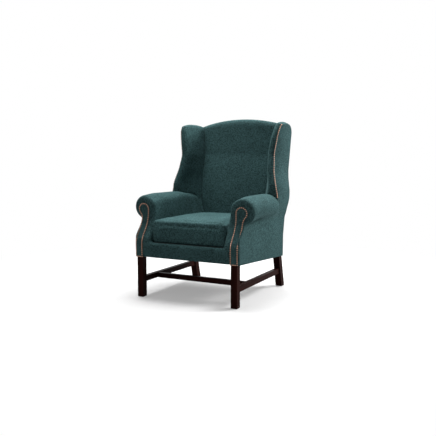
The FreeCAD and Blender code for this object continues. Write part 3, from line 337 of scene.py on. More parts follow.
def thicken(bm, thick, outward):
    """Close an open grid into a shell, thick millimetres deep behind its shown side."""
    bmesh.ops.recalc_face_normals(bm, faces=bm.faces)
    face = max(bm.faces, key=lambda f: f.calc_area())
    if face.normal.dot(outward) < 0:
        bmesh.ops.reverse_faces(bm, faces=bm.faces)
    bmesh.ops.solidify(bm, geom=bm.faces[:], thickness=thick / 1000)
    bmesh.ops.recalc_face_normals(bm, faces=bm.faces)


def packed_copy(nodes, swell):
    """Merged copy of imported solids, each swollen by its own or one shared number of millimetres."""
    bm = bmesh.new()
    for name in nodes:
        grown = swell[name] if isinstance(swell, dict) else swell
        part = bmesh.new()
        part.from_mesh(NODES[name].data)
        bmesh.ops.remove_doubles(part, verts=part.verts, dist=0.00001)
        part.normal_update()
        for vert in part.verts:
            vert.co += vert.normal * grown / 1000
        add_to(bm, part)
    return bm


def remeshed(bm, voxel):
    """The same form as one even skin of quads."""
    obj = scene_object("padding", bm)
    modifier = obj.modifiers.new("Remesh", "REMESH")
    modifier.mode = "VOXEL"
    modifier.voxel_size = voxel
    modifier.adaptivity = 0.0
    apply_modifiers(obj)
    out = bmesh.new()
    out.from_mesh(obj.data)
    mesh = obj.data
    bpy.data.objects.remove(obj)
    bpy.data.meshes.remove(mesh)
    return out


def relax(bm, rounds, chosen=None):
    """Smooth a skin, or the vertices that chosen() picks."""
    verts = [v for v in bm.verts if chosen is None or chosen(v.co)]
    for _ in range(rounds):
        bmesh.ops.smooth_vert(bm, verts=verts, factor=0.5,
                              use_axis_x=True, use_axis_y=True, use_axis_z=True)


def padding(nodes, swell, rounds, crown_rounds=0, crown_foot=0.0):
    """Packed padding as one even skin, smoothed all over and then more above a height in metres."""
    bm = remeshed(packed_copy(nodes, swell), settings().voxel)
    relax(bm, rounds)
    relax(bm, crown_rounds, lambda co: co.z > crown_foot)
    return bm


def press_in(bm, path, push, depth, reach):
    """Draw a cover in along a nailed line, by depth at the line and nothing at reach, in metres."""
    tree = KDTree(len(path))
    for index, point in enumerate(path):
        tree.insert(point, index)
    tree.balance()
    for vert in bm.verts:
        away = tree.find(vert.co)[2]
        if away < reach:
            vert.co += push * (depth * (1 - (away / reach) ** 2) ** 2)


def mirrored(bm, side):
    """Turn a right-hand form into the left-hand one where side is -1."""
    if side < 0:
        bmesh.ops.scale(bm, verts=bm.verts, vec=(-1, 1, 1))
        bmesh.ops.reverse_faces(bm, faces=bm.faces)
    return bm


# Shader groups and materials

def group_with(name, inputs, outputs):
    """New shader group with named sockets; returns the tree and its two end nodes."""
    tree = bpy.data.node_groups.new(name, "ShaderNodeTree")
    for label, kind, default in inputs:
        socket = tree.interface.new_socket(label, in_out="INPUT", socket_type=kind)
        if default is not None:
            socket.default_value = default
    for label, kind in outputs:
        tree.interface.new_socket(label, in_out="OUTPUT", socket_type=kind)
    start = tree.nodes.new("NodeGroupInput")
    end = tree.nodes.new("NodeGroupOutput")
    return tree, start, end


def node(tree, kind, links=(), **values):
    """Add a node, set its properties, and link sockets into it."""
    made = tree.nodes.new(kind)
    for key, value in values.items():
        setattr(made, key, value)
    for target, source in links:
        tree.links.new(source, made.inputs[target])
    return made


def feed(tree, socket, value):
    """Link a socket into an input, or set the input to a number or a colour."""
    if isinstance(value, bpy.types.NodeSocket):
        tree.links.new(value, socket)
    elif isinstance(value, (int, float)):
        socket.default_value = value
    else:
        socket.default_value = tuple(value)[:3] + (1.0,)


def feed_all(tree, made, **values):
    """Feed a node's inputs by name, with _ for each space."""
    for key, value in values.items():
        feed(tree, made.inputs[key.replace("_", " ")], value)
    return made


def noise(tree, vector, scale, detail=2.0, roughness=0.5, distortion=0.0):
    """Noise texture on a vector, as its Fac socket."""
    made = tree.nodes.new("ShaderNodeTexNoise")
    feed_all(tree, made, Vector=vector, Scale=scale, Detail=detail,
             Roughness=roughness, Distortion=distortion)
    return made.outputs["Fac"]


def math_node(tree, operation, a, b=None):
    """Math node on sockets or numbers, as its Value socket."""
    made = node(tree, "ShaderNodeMath", operation=operation)
    for index, value in enumerate((a, b)):
        if value is not None:
            feed(tree, made.inputs[index], value)
    return made.outputs["Value"]


def weighted(tree, *terms):
    """Sum of sockets, each given with its weight."""
    parts = [math_node(tree, "MULTIPLY", socket, weight) for socket, weight in terms]
    total = parts[0]
    for part in parts[1:]:
        total = math_node(tree, "ADD", total, part)
    return total


def spread_to(tree, value, low, high, new_low=0.0, new_high=1.0):
    """Map a value from one range to another, clamped."""
    made = tree.nodes.new("ShaderNodeMapRange")
    feed_all(tree, made, Value=value, From_Min=low, From_Max=high, To_Min=new_low, To_Max=new_high)
    return made.outputs["Result"]


def mix_colors(tree, factor, a, b, blend="MIX"):
    """Colour mix, as its Result socket; a and b are sockets or colours."""
    made = node(tree, "ShaderNodeMix", data_type="RGBA", blend_type=blend)
    for index, value in ((0, factor), (6, a), (7, b)):
        feed(tree, made.inputs[index], value)
    return made.outputs[2]


def shaded(tree, color, shade):
    """Colour times a grey value, as a socket."""
    grey = node(tree, "ShaderNodeCombineColor", [("Red", shade), ("Green", shade), ("Blue", shade)])
    return mix_colors(tree, 1.0, color, grey.outputs["Color"], "MULTIPLY")


def nap_group():
    """Pile of a velvet: tufts of brushed and raised fibre, as colour, roughness and height."""
    tree, start, end = group_with(
        "Velvet nap",
        [("Vector", "NodeSocketVector", None), ("Color", "NodeSocketColor", (0.1, 0.1, 0.1, 1)),
         ("Tuft Scale", "NodeSocketFloat", 150.0), ("Contrast", "NodeSocketFloat", 0.35)],
        [("Color", "NodeSocketColor"), ("Roughness", "NodeSocketFloat"), ("Height", "NodeSocketFloat")])
    vector, scale, contrast = (start.outputs[name] for name in ("Vector", "Tuft Scale", "Contrast"))
    tufts = noise(tree, vector, scale, 3.0, 0.55, 0.15)
    fibres = noise(tree, vector, math_node(tree, "MULTIPLY", scale, 6.0))
    tuft = spread_to(tree, tufts, 0.38, 0.62)
    pile = spread_to(tree, fibres, 0.33, 0.67)
    brushed = spread_to(tree, noise(tree, vector, 22.0, 3.0, 0.6), 0.36, 0.64)
    broad = spread_to(tree, noise(tree, vector, 5.0), 0.35, 0.65)
    mixed = weighted(tree, (tuft, 0.6), (pile, 0.2), (brushed, 0.08), (broad, 0.12))
    dark = math_node(tree, "SUBTRACT", 1.0, contrast)
    swing = math_node(tree, "MULTIPLY", contrast, 2.0)
    shade = math_node(tree, "ADD", dark, math_node(tree, "MULTIPLY", mixed, swing))
    feed_all(tree, end, Color=shaded(tree, start.outputs["Color"], shade),
             Roughness=spread_to(tree, mixed, 0.0, 1.0, 0.98, 0.8),
             Height=weighted(tree, (tuft, 0.6), (pile, 0.5)))
    return tree


def grain_group():
    """Wood grain along Z: long figure, pores and colour drift."""
    tree, start, end = group_with(
        "Wood grain",
        [("Vector", "NodeSocketVector", None), ("Dark", "NodeSocketColor", (0.01, 0.01, 0.01, 1)),
         ("Light", "NodeSocketColor", (0.05, 0.03, 0.02, 1)), ("Figure", "NodeSocketFloat", 24.0)],
        [("Color", "NodeSocketColor"), ("Roughness", "NodeSocketFloat"), ("Height", "NodeSocketFloat")])
    vector, dark = start.outputs["Vector"], start.outputs["Dark"]
    figure = noise(tree, vector, start.outputs["Figure"], 5.0, distortion=1.2)
    band = spread_to(tree, figure, 0.35, 0.65)
    drift = noise(tree, vector, 3.0)
    pore = spread_to(tree, noise(tree, vector, 420.0, 2.0, 0.6), 0.62, 0.72)
    amount = weighted(tree, (band, 0.65), (drift, 0.35))
    color = mix_colors(tree, amount, dark, start.outputs["Light"])
    color = mix_colors(tree, math_node(tree, "MULTIPLY", pore, 0.5), color, dark)
    height = math_node(tree, "SUBTRACT", math_node(tree, "MULTIPLY", band, 0.3), pore)
    feed_all(tree, end, Color=color, Roughness=spread_to(tree, amount, 0.0, 1.0, 0.30, 0.42), Height=height)
    return tree


def weave_group():
    """Plain weave: threads on X and Z crossed by threads on Y, as a shaded colour and a height."""
    tree, start, end = group_with(
        "Plain weave",
        [("Vector", "NodeSocketVector", None), ("Threads", "NodeSocketFloat", 500.0),
         ("Color", "NodeSocketColor", (0.3, 0.25, 0.2, 1))],
        [("Color", "NodeSocketColor"), ("Height", "NodeSocketFloat")])
    parts = node(tree, "ShaderNodeSeparateXYZ", [("Vector", start.outputs["Vector"])])
    scale = start.outputs["Threads"]
    waves = []
    for axis in ("X", "Y", "Z"):
        phase = math_node(tree, "MULTIPLY", parts.outputs[axis], scale)
        waves.append(math_node(tree, "SINE", math_node(tree, "MULTIPLY", phase, math.tau)))
    cross = math_node(tree, "MULTIPLY", math_node(tree, "ADD", waves[0], waves[2]), waves[1])
    threads = spread_to(tree, cross, -1.2, 1.2)
    slubs = noise(tree, start.outputs["Vector"], 90.0, 3.0, 0.6)
    shade = weighted(tree, (threads, 0.45), (slubs, 0.9))
    feed_all(tree, end, Color=shaded(tree, start.outputs["Color"], shade), Height=threads)
    return tree


def base_material(name):
    """New material with its shader, and the Object coordinates that patterns read."""
    material = bpy.data.materials.new(name)
    material.use_nodes = True
    tree = material.node_tree
    shader = tree.nodes["Principled BSDF"]
    place = tree.nodes.new("ShaderNodeTexCoord")
    return material, tree, shader, place.outputs["Object"]


def add_group(tree, group, **values):
    """Place a shader group in a material; values are sockets, numbers or colours."""
    made = tree.nodes.new("ShaderNodeGroup")
    made.node_tree = group
    return feed_all(tree, made, **values)


def bumped(tree, height, strength, distance):
    """Normal socket of a height's bump."""
    bump = tree.nodes.new("ShaderNodeBump")
    feed_all(tree, bump, Height=height, Strength=strength, Distance=distance)
    return bump.outputs["Normal"]


def velvet_material(group, name, painted_light_scale):
    """Teal velvet with a mottled pile and a soft sheen; its colour is scaled, and a scale above 1 is
    painted light.
    """
    material, tree, shader, place = base_material(name)
    color = tuple(c * painted_light_scale for c in settings().velvet_color)
    nap = add_group(tree, group, Vector=place, Color=color, Tuft_Scale=140.0, Contrast=0.7).outputs
    feed_all(tree, shader, Base_Color=nap["Color"], Roughness=nap["Roughness"], Specular_IOR_Level=0.04,
             Sheen_Weight=0.16, Sheen_Roughness=0.28, Sheen_Tint=(0.45, 0.78, 0.80),
             Normal=bumped(tree, nap["Height"], 0.5, 0.0014))
    return material


def wood_material(group, name, dark, light, coat, stretch):
    """Wood with its grain along one axis; stretch is the pattern's scale on X, Y and Z."""
    material, tree, shader, place = base_material(name)
    mapping = node(tree, "ShaderNodeMapping", [("Vector", place)])
    mapping.inputs["Scale"].default_value = stretch
    vector = mapping.outputs["Vector"]
    grain = add_group(tree, group, Vector=vector, Dark=dark, Light=light, Figure=18.0).outputs
    feed_all(tree, shader, Base_Color=grain["Color"], Roughness=grain["Roughness"], Specular_IOR_Level=0.02,
             Coat_Weight=coat, Coat_Roughness=0.25, Normal=bumped(tree, grain["Height"], 0.25, 0.0004))
    return material


def cloth_material(group, name, color, threads):
    """Plain woven cloth."""
    material, tree, shader, place = base_material(name)
    weave = add_group(tree, group, Vector=place, Threads=threads, Color=color).outputs
    feed_all(tree, shader, Base_Color=weave["Color"], Roughness=0.92,
             Normal=bumped(tree, weave["Height"], 0.4, 0.0005))
    return material


def metal_material(name, color, roughness, tarnish, rim=False, tarnish_and_rim_shade=0.28):
    """Antiqued metal: tarnish by noise, and painted shade darkening each nail's rim where rim is set."""
    material, tree, shader, place = base_material(name)
    spots = noise(tree, place, 240.0, 3.0, 0.6)
    fine = noise(tree, place, 1500.0, 2.0, 0.6)
    amount = spread_to(tree, spots, 0.35, 0.7, 0.0, tarnish)
    # painted shade: each nail head is darkened from its crown down to its rim
    if rim:
        crown = node(tree, "ShaderNodeAttribute", attribute_name="crown").outputs["Fac"]
        amount = math_node(tree, "MAXIMUM", amount, spread_to(tree, crown, 0.35, 0.75, 1.0, 0.0))
    # one dark colour serves both the tarnish and the painted shade on the rims
    dark = tuple(c * tarnish_and_rim_shade for c in color)
    feed_all(tree, shader, Base_Color=mix_colors(tree, amount, color, dark), Metallic=1.0,
             Roughness=spread_to(tree, fine, 0.3, 0.7, roughness - 0.06, roughness + 0.12),
             Normal=bumped(tree, fine, 0.2, 0.0002))
    return material


def make_materials():
    """All finishes by name."""
    nap, grain, weave = nap_group(), grain_group(), weave_group()
    dark = tuple(settings().wood_color)
    light = tuple(c * 2.4 for c in dark)
    made = {
        "velvet": velvet_material(nap, "teal_velvet", 1.0),
        # painted light: the cushion gets a copy of the velvet 1.22 times as light as the other covers
        "cushion_velvet_painted_light": velvet_material(nap, "teal_cushion_velvet_painted_light", 1.22),
        "webbing": cloth_material(weave, "jute_webbing", (0.42, 0.31, 0.17), 420.0),
        "deck_cloth": cloth_material(weave, "deck_cloth", (0.05, 0.09, 0.09), 900.0),
        "dust_cloth": cloth_material(weave, "dust_cloth", (0.02, 0.02, 0.022), 1100.0),
        # the nails' rims get painted shade, darkened to a tenth of the brass colour
        "nail": metal_material("antique_brass_nail", tuple(settings().nail_color), 0.36, 0.45, True, 0.1),
        "glide": metal_material("nickel_glide", (0.55, 0.54, 0.52), 0.3, 0.4),
    }
    ways = {"upright": (1.0, 1.0, 0.07), "along": (1.0, 0.07, 1.0), "across": (0.07, 1.0, 1.0)}
    for way, stretch in ways.items():
        name = f"mahogany_{way}"
        made[name] = wood_material(grain, name, dark, light, 0.004, stretch)
    beech = ((0.42, 0.27, 0.15), (0.60, 0.42, 0.26))
    made["frame_wood"] = wood_material(grain, "beech_frame", *beech, 0.0, (1.0, 0.1, 0.25))
    return made


MATERIALS = {}


# Wood and metal

def finish_node(name, material):
    """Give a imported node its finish."""
    mesh = NODES[name].data
    mesh.materials.clear()
    mesh.materials.append(MATERIALS[material])


class ARMCHAIR_OT_wood(bpy.types.Operator):
    """Finish the legs, stretchers, inner frame and glides"""
    bl_idname = "armchair.wood"
    bl_label = "Wood and Glides"
    bl_options = {"REGISTER", "UNDO"}

    def execute(self, context):
        for side, _ in SIDES:
            for name in ("front_leg", "rear_leg"):
                finish_node(f"{name}_{side}", "mahogany_upright")
            finish_node(f"side_stretcher_{side}", "mahogany_along")
            for name in ("front_glide", "rear_glide"):
                finish_node(f"{name}_{side}", "glide")
            for name in ("arm_post", "arm_rail", "back_post", "front_corner_block", "lower_arm_rail",
                         "rear_corner_block", "side_rail", "wing_post", "wing_rail"):
                finish_node(f"{name}_{side}", "frame_wood")
        finish_node("cross_stretcher", "mahogany_across")
        for name in ("crest_rail", "front_rail", "lower_back_rail", "rear_rail"):
            finish_node(name, "frame_wood")
        return {"FINISHED"}


# Covers

class ARMCHAIR_OT_arms(bpy.types.Operator):
    """Arm covers and front border, one continuous velvet cover"""
    bl_idname = "armchair.arms"
    bl_label = "Arms and Border"
    bl_options = {"REGISTER", "UNDO"}

    def execute(self, context):
        swell = {"front_border": 0.5}
        for side, _ in SIDES:
            swell[f"arm_roll_{side}"] = 2.0
            swell[f"inside_arm_{side}"] = 0.8
        bm = padding(list(swell), swell, rounds=10)
        obj = new_piece("arm_and_border_cover", bm, MATERIALS["velvet"], list(swell))
        return {"FINISHED"}


def facing_bulge(co):
    """Lift of the facing's padding between its two nail lines, in millimetres."""
    x = abs(co.x) * 1000
    z = co.z * 1000
    head = ease(*NECK_PASS, z)
    middle = (FACING_INNER + FACING_OUTER) / 2
    middle += (HEAD[0] - middle) * head
    half = (FACING_OUTER - FACING_INNER) / 2 + (HEAD[2] - NECK_HALF) * head
    edge = 1 - min(1.0, abs(x - middle) / half) ** 2
    above, below = z - FACING_FOOT, HEAD[1] + HEAD[2] - z
    return FACING_PUFF * edge * ease(0, FACING_FADE[1], below) * ease(0, FACING_FADE[0], above)


class ARMCHAIR_OT_facings(bpy.types.Operator):
    """Padded facings on the arm fronts"""
    bl_idname = "armchair.facings"
    bl_label = "Arm Facings"
    bl_options = {"REGISTER", "UNDO"}

    def execute(self, context):
        for side, sign in SIDES:
            node_name = f"arm_facing_{side}"
            bm = remeshed(packed_copy([node_name], 0.0), FACING_VOXEL)
            relax(bm, 3)
            for vert in bm.verts:
                vert.co.y -= (facing_bulge(vert.co) + NAIL_SINK) / 1000
            line = [Vector((p.x * sign, p.y, p.z)) for p in evenly(facing_path(), FACING_LINE_STEP)]
            press_in(bm, line, Vector((0, 1, 0)), SEAM_DEPTH / 1000, SEAM_REACH / 1000)
            obj = new_piece(f"facing_cover_{side}", bm, MATERIALS["velvet"], [node_name])
        return {"FINISHED"}


def wing_line(z):
    """Nail line X and depth, and the rear edge's extra X, at height z."""
    return trace(WING, z)


class ARMCHAIR_OT_wings(bpy.types.Operator):
    """Padded wings"""
    bl_idname = "armchair.wings"
    bl_label = "Wings"
    bl_options = {"REGISTER", "UNDO"}

    def execute(self, context):
        for side, _ in SIDES:
            node_name = f"wing_pad_{side}"
            bm = padding([node_name], 1.6, rounds=14, crown_rounds=40, crown_foot=1.03)
            for vert in bm.verts:
                outer = ease(*WING_OUTER, abs(vert.co.x))
                vert.co.z += (1 + outer) * WING_CROWN / 1000 * ease(*WING_RISE, vert.co.z)
            obj = new_piece(f"wing_cover_{side}", bm, MATERIALS["velvet"], [node_name])
        return {"FINISHED"}


def side_foot(y):
    """Height of the outer cover's lower edge at depth y."""
    (y0, z0), (y1, z1) = SIDE_FOOT
    return z0 + (z1 - z0) * (y - y0) / (y1 - y0)


def outer_place(u, v):
    """Point of the outer side cover: u from front to rear, v from the lower edge to the wing's top."""
    z = SIDE_LOW + (WING_TOP[1] - SIDE_LOW) * v
    nail_x, nail_y, extra = wing_line(z)
    start = front_of(min(z, WING_PASS[0])) + FRONT_GAP
    start += (nail_y - start) * ease(*FRONT_PASS, z)
    y = start + (back_of(z) - start) * u

    # flat over the arm, then from the nail line to the rear edge of the wing
    front_x = SIDE_X + (nail_x + NAIL_GAP - SIDE_X) * ease(*NAIL_PASS, z)
    rear_x = SIDE_X + extra * ease(*REAR_PASS, z)
    across = (y - nail_y) / (back_of(z) - nail_y)
    if z < FRONT_PASS[1]:
        across = max(0.0, across)
    x = front_x + (rear_x - front_x) * across if across > 0 else front_x

    # hip above the arm, and the turned front edge
    hip = ease(*HIP_RISE, z) * ease(*HIP_FALL, z)
    x += HIP * hip * (1 - across)
    turn = FRONT_TURN + HIP_TURN * hip
    near = min(1.0, (y - start) / (turn + 1))
    x -= turn * (1 - math.sqrt(1 - (1 - near) ** 2))

    # fullness of the arm and the wing, and the wing's hollow behind its nails
    wing = ease(*WING_PASS, z)
    full = math.sin(math.pi * u)
    x += ARM_FULL * full * ease(0, 60, z - 212)
    x -= WING_HOLLOW[0] * wing * max(0.0, 1 - (y - start) / WING_HOLLOW[1]) ** 2
    x += WING_FULL * wing * full

    # lower and upper edge, the rear top corner rounded and the top turned in
    low = side_foot(y)
    top = wing_top(y) - REAR_CORNER[0] * max(0.0, 1 - (back_of(z) - y) / REAR_CORNER[1]) ** 2
    z = low + (top - low) * v
    over = max(0.0, z - (top - TOP_TURN)) / TOP_TURN
    x -= TOP_TURN * (1 - math.sqrt(max(0.0, 1 - over ** 2)))
    return at(x, y, z)


class ARMCHAIR_OT_outer_covers(bpy.types.Operator):
    """Outer side covers and the outside back"""
    bl_idname = "armchair.outer_covers"
    bl_label = "Outer Covers"
    bl_options = {"REGISTER", "UNDO"}

    def execute(self, context):
        for side, sign in SIDES:
            bm = shaped_grid(70, 150, outer_place)
            thicken(bm, COVER_THICK, Vector((1, 0, 0)))
            mirrored(bm, sign)
            new_piece(f"outer_cover_{side}", bm, MATERIALS["velvet"],
                      [f"outside_arm_{side}", f"outside_wing_{side}"])
        bm = shaped_grid(60, 80, outside_back_place)
        thicken(bm, BACK_COVER_THICK, Vector((0, 1, 0)))
        new_piece("outside_back_cover", bm, MATERIALS["velvet"], ["outside_back"])
        return {"FINISHED"}


def outside_back_place(u, v):
    """Point of the outside back: u across the chair, v from the rear rail up and over the crest."""
    side = 2 * u - 1
    x = side * (SIDE_X - BACK_GAP)
    height = crest_of(x) - CREST_GAP - BACK_FOOT
    z = BACK_FOOT + height * v
    x += side * wing_line(z)[2] * ease(*REAR_PASS, z)
    puff = BACK_FULL * math.sin(math.pi * v) * math.sin(math.pi * u)
    over = max(0.0, 1 - height * (1 - v) / CREST_CURL[1])
    puff -= CREST_CURL[0] * (1 - math.sqrt(max(0.0, 1 - over ** 2)))
    edge = min(u, 1 - u) * 2 * SIDE_X
    tuck = BACK_TUCK[0] * (1 - math.sqrt(1 - (1 - min(1.0, edge / BACK_TUCK[1])) ** 2))
    return at(x, back_of(z) + puff - tuck, z)


class ARMCHAIR_OT_inside_back(bpy.types.Operator):
    """Padded inside back"""
    bl_idname = "armchair.inside_back"
    bl_label = "Inside Back"
    bl_options = {"REGISTER", "UNDO"}

    def execute(self, context):
        bm = padding(["inside_back"], 0.8, rounds=10, crown_rounds=45, crown_foot=BACK_RISE[0])
        for vert in bm.verts:
            vert.co.z += BACK_CROWN / 1000 * ease(*BACK_RISE, vert.co.z)
        obj = new_piece("inside_back_cover", bm, MATERIALS["velvet"], ["inside_back"])
        return {"FINISHED"}


# Seat

def inflate(obj, pressure, steps, limit):
    """Fill a remeshed pad by cloth pressure, with every point's move limited, and keep the result."""
    before = [v.co.copy() for v in obj.data.vertices]
    modifier = obj.modifiers.new("Cloth", "CLOTH")
    cloth = modifier.settings
    cloth.quality = 5
    cloth.mass = 0.3
    cloth.use_pressure = True
    cloth.uniform_pressure_force = pressure
    cloth.effector_weights.gravity = 0.0
    cloth.tension_stiffness = 15
    cloth.compression_stiffness = 15
    cloth.bending_stiffness = 0.5
    modifier.point_cache.frame_start = 1
    modifier.point_cache.frame_end = steps
    scene = bpy.context.scene
    for step in range(1, steps + 1):
        scene.frame_set(step)
    apply_modifiers(obj)
    for start, vert in zip(before, obj.data.vertices):
        move = vert.co - start
        if move.length > limit:
            vert.co = start + move * (limit / move.length)
    scene.frame_set(1)


class ARMCHAIR_OT_cushion(bpy.types.Operator):
    """Loose seat cushion, filled by a cloth simulation"""
    bl_idname = "armchair.cushion"
    bl_label = "Seat Cushion"
    bl_options = {"REGISTER", "UNDO"}

    def execute(self, context):
        bm = remeshed(packed_copy(["seat_cushion"], 0.8), CUSHION_VOXEL)
        relax(bm, 1)
        # its velvet is the lighter copy, with light painted into its colour
        obj = new_piece("seat_cushion_cover", bm, MATERIALS["cushion_velvet_painted_light"],
                        ["seat_cushion"], "cushion")
        inflate(obj, settings().cushion_pressure, settings().cushion_steps, CUSHION_LIMIT)
        bm = bmesh.new()
        bm.from_mesh(obj.data)
        relax(bm, 2)
        bm.to_mesh(obj.data)
        bm.free()
        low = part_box("seat_cushion")[0]
        for vert in obj.data.vertices:
            vert.co.z = max(vert.co.z, low.z)
            share = max(0.0, 1 - (vert.co.z - low.z) / PINCH_HEIGHT) ** 2
            vert.co.x *= 1 - PINCH * share
            vert.co.y *= 1 - PINCH * share
        modifier = obj.modifiers.new("Subdivision", "SUBSURF")
        modifier.levels = modifier.render_levels = 1
        return {"FINISHED"}


def strap(start, end, across, weave):
    """Strap from start to end, and its length; weave is its lift in metres at even steps along it."""
    length = (end - start).length
    up = (end - start).cross(across).normalized()
    if up.z < 0 or (abs(up.z) < 0.5 and up.y > 0):
        up.negate()
    steps = 4 * max(1, len(weave) - 1)

    def place(u, v):
        spot = v * (len(weave) - 1)
        low = min(int(spot), len(weave) - 2)
        part = spot - low
        lift = weave[low] + (weave[low + 1] - weave[low]) * part * part * (3 - 2 * part)
        return start.lerp(end, v) + across * (u - 0.5) * WEB_WIDTH / 1000 + up * lift

    bm = shaped_grid(6, steps, place)
    thicken(bm, WEB_THICK, up)
    return bm, length


def straps(name, node_name, rows):
    """One piece of crossing straps."""
    bm = bmesh.new()
    total = 0.0
    for start, end, across, weave in rows:
        part, length = strap(start, end, across, weave)
        add_to(bm, part)
        total += length
    obj = new_piece(name, bm, MATERIALS["webbing"], [node_name])


def spread(count, first, last):
    """Centres of evenly spaced copies between two limits."""
    step = (last - first) / count
    return [first + step * (index + 0.5) for index in range(count)]


def seat_straps():
    """Rows of the seat's straps: six lengthwise, five crosswise, woven over and under each other."""
    low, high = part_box("seat_webbing")
    level = (low.z + high.z) / 2 + WEB_THICK / 2000
    lift = WEAVE_LIFT / 1000
    lengthwise = spread(6, -STRAP_HALF_SPAN / 1000, STRAP_HALF_SPAN / 1000)
    crosswise = spread(5, *(LEG_FRONT + depth / 1000 for depth in STRAP_DEPTHS))
    rows = []
    for i, x in enumerate(lengthwise):
        weave = [0.0] + [lift * (-1) ** (i + j) for j in range(len(crosswise))] + [0.0]
        rows.append((Vector((x, low.y, level)), Vector((x, high.y, level)), Vector((1, 0, 0)), weave))
    for j, y in enumerate(crosswise):
        weave = [0.0] + [-lift * (-1) ** (i + j) for i in range(len(lengthwise))] + [0.0]
        rows.append((Vector((low.x, y, level)), Vector((high.x, y, level)), Vector((0, 1, 0)), weave))
    return rows


def back_straps():
    """Rows of the back's straps, level across the posts."""
    low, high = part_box("back_webbing")
    along = Vector((0, BACK_LEAN, 1)).normalized()
    rows = []
    for z in spread(5, *BACK_STRAP_HEIGHTS):
        front = at(0, back_of(z) - BACK_STRAP_DEEP, z)
        ends = [Vector((x, front.y, front.z)) for x in (low.x, high.x)]
        rows.append((*ends, along, [0.0, 0.0]))
    return rows


def deck_place(u, v):
    """Point of the seat deck: u across, v from front to rear, a little proud in the middle."""
    front, rear = DECK_DEPTHS
    half_front, half_rear = DECK_HALVES
    half = half_front + (half_rear - half_front) * v
    drop = DECK_EDGE_DROP * (1 - ease(0, DECK_EDGE, min(u, 1 - u, v, 1 - v)))
    return at((2 * u - 1) * half, front + (rear - front) * v, DECK_TOP - drop)


def dust_place(u, v):
    """Point of the dust cover under the rails, tacked along its edges and slack between them."""
    low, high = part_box("dust_cover")
    y = low.y + (high.y - low.y) * v
    front, rear = RAIL_DEPTHS
    depth = (y - LEG_FRONT) * 1000
    z = RAIL_FOOT - RAIL_DROP * min(max((depth - front) / (rear - front), 0.0), 1.0)
    slack = ease(0, DUST_EDGE, min(u, 1 - u)) * ease(0, DUST_EDGE, min(v, 1 - v))
    ruck = DUST_RUCK * math.sin(DUST_WAVES[0] * u) * math.sin(DUST_WAVES[1] * v)
    return Vector((low.x + (high.x - low.x) * u, y, (z - DUST_GAP - (DUST_SAG + ruck) * slack) / 1000))


class ARMCHAIR_OT_seat(bpy.types.Operator):
    """Seat deck, webbing and dust cover"""
    bl_idname = "armchair.seat"
    bl_label = "Deck, Webbing and Dust Cover"
    bl_options = {"REGISTER", "UNDO"}

    def execute(self, context):
        straps("seat_straps", "seat_webbing", seat_straps())
        straps("back_straps", "back_webbing", back_straps())
        bm = shaped_grid(60, 60, deck_place)
        thicken(bm, DECK_THICK, Vector((0, 0, 1)))
        deck = new_piece("seat_deck_cover", bm, MATERIALS["deck_cloth"], ["seat_deck"])
        bm = shaped_grid(48, 48, dust_place)
        thicken(bm, DUST_THICK, Vector((0, 0, -1)))
        dust = new_piece("dust_cloth", bm, MATERIALS["dust_cloth"], ["dust_cover"])
        return {"FINISHED"}


# Nails

def dome():
    """One nail head: a shallow dome with a thin rim, standing on its origin along Z."""
    radius = settings().nail_diameter / 2
    rise = settings().nail_rise
    bm = bmesh.new()
    profile = [(radius * across, rise * up) for across, up in DOME] + [(radius, -NAIL_SINK / 1000)]
    verts = [bm.verts.new((x, 0, z)) for x, z in profile]
    edges = [bm.edges.new(pair) for pair in zip(verts, verts[1:])]
    bmesh.ops.spin(bm, geom=verts + edges, axis=(0, 0, 1), cent=(0, 0, 0), dvec=(0, 0, 0),
                   angle=math.tau, steps=NAIL_SIDES, use_merge=True)
    bmesh.ops.remove_doubles(bm, verts=bm.verts, dist=0.00001)
    bmesh.ops.holes_fill(bm, edges=[e for e in bm.edges if e.is_boundary], sides=0)
    bmesh.ops.recalc_face_normals(bm, faces=bm.faces)
    # share of the dome's rise, which the nail material reads to paint shade on the rim
    crown = bm.verts.layers.float.new("crown")
    for vert in bm.verts:
        vert[crown] = max(0.0, vert.co.z / rise)
    mesh = bpy.data.meshes.new("nail_dome")
    bm.to_mesh(mesh)
    bm.free()
    return mesh


def evenly(path, pitch):
    """Points every pitch along a dense path, with the path's own ends kept."""
    lengths = [0.0]
    for a, b in zip(path, path[1:]):
        lengths.append(lengths[-1] + (b - a).length)
    count = max(1, round(lengths[-1] / pitch))
    out = []
    i = 0
    for n in range(count + 1):
        target = lengths[-1] * n / count
        while i < len(lengths) - 2 and lengths[i + 1] < target:
            i += 1
        span = lengths[i + 1] - lengths[i]
        out.append(path[i].lerp(path[i + 1], (target - lengths[i]) / span if span else 0.0))
    return out


def nail_row(name, places, side):
    """Nails at (point, outward direction) pairs, as one object."""
    template = dome()
    bm = bmesh.new()
    for point, outward in places:
        start = len(bm.verts)
        bm.from_mesh(template)
        bm.verts.ensure_lookup_table()
        turn = outward.to_track_quat("Z", "X").to_matrix().to_4x4()
        bmesh.ops.transform(bm, matrix=Matrix.Translation(point) @ turn, verts=bm.verts[start:])
    bpy.data.meshes.remove(template)
    mirrored(bm, side)
    return new_piece(name, bm, MATERIALS["nail"])


def evened(values, rounds):
    """Run of vectors with each one drawn towards its neighbours; the ends stay."""
    for _ in range(rounds):
        inner = [(a + b * 2 + c) / 4 for a, b, c in zip(values, values[1:], values[2:])]
        values = [values[0]] + inner + [values[-1]]
    return values


def laid_on(path, names, outward):
    """Path laid onto finished covers: each point on the cloth, with the direction away from it."""
    bm = bmesh.new()
    for name in names:
        bm.from_mesh(bpy.data.objects[name].data)
    tree = BVHTree.FromBMesh(bm)
    bm.free()
    places = []
    for point in path:
        spot, normal = tree.find_nearest(point)[:2]
        if normal.dot(outward) < 0:
            normal = -normal
        places.append((spot, (normal + outward).normalized()))
    return places


def facing_normal(z):
    """Outward direction of the facing at height z."""
    slope = (front_of(z + 4) - front_of(z - 4)) / 8
    return Vector((0, -1, slope)).normalized()


def on_facing(flat):
    """Points on the facing's cover from (X, height) pairs."""
    return [at(x, front_of(z) - NAIL_SINK, z) for x, z in flat]


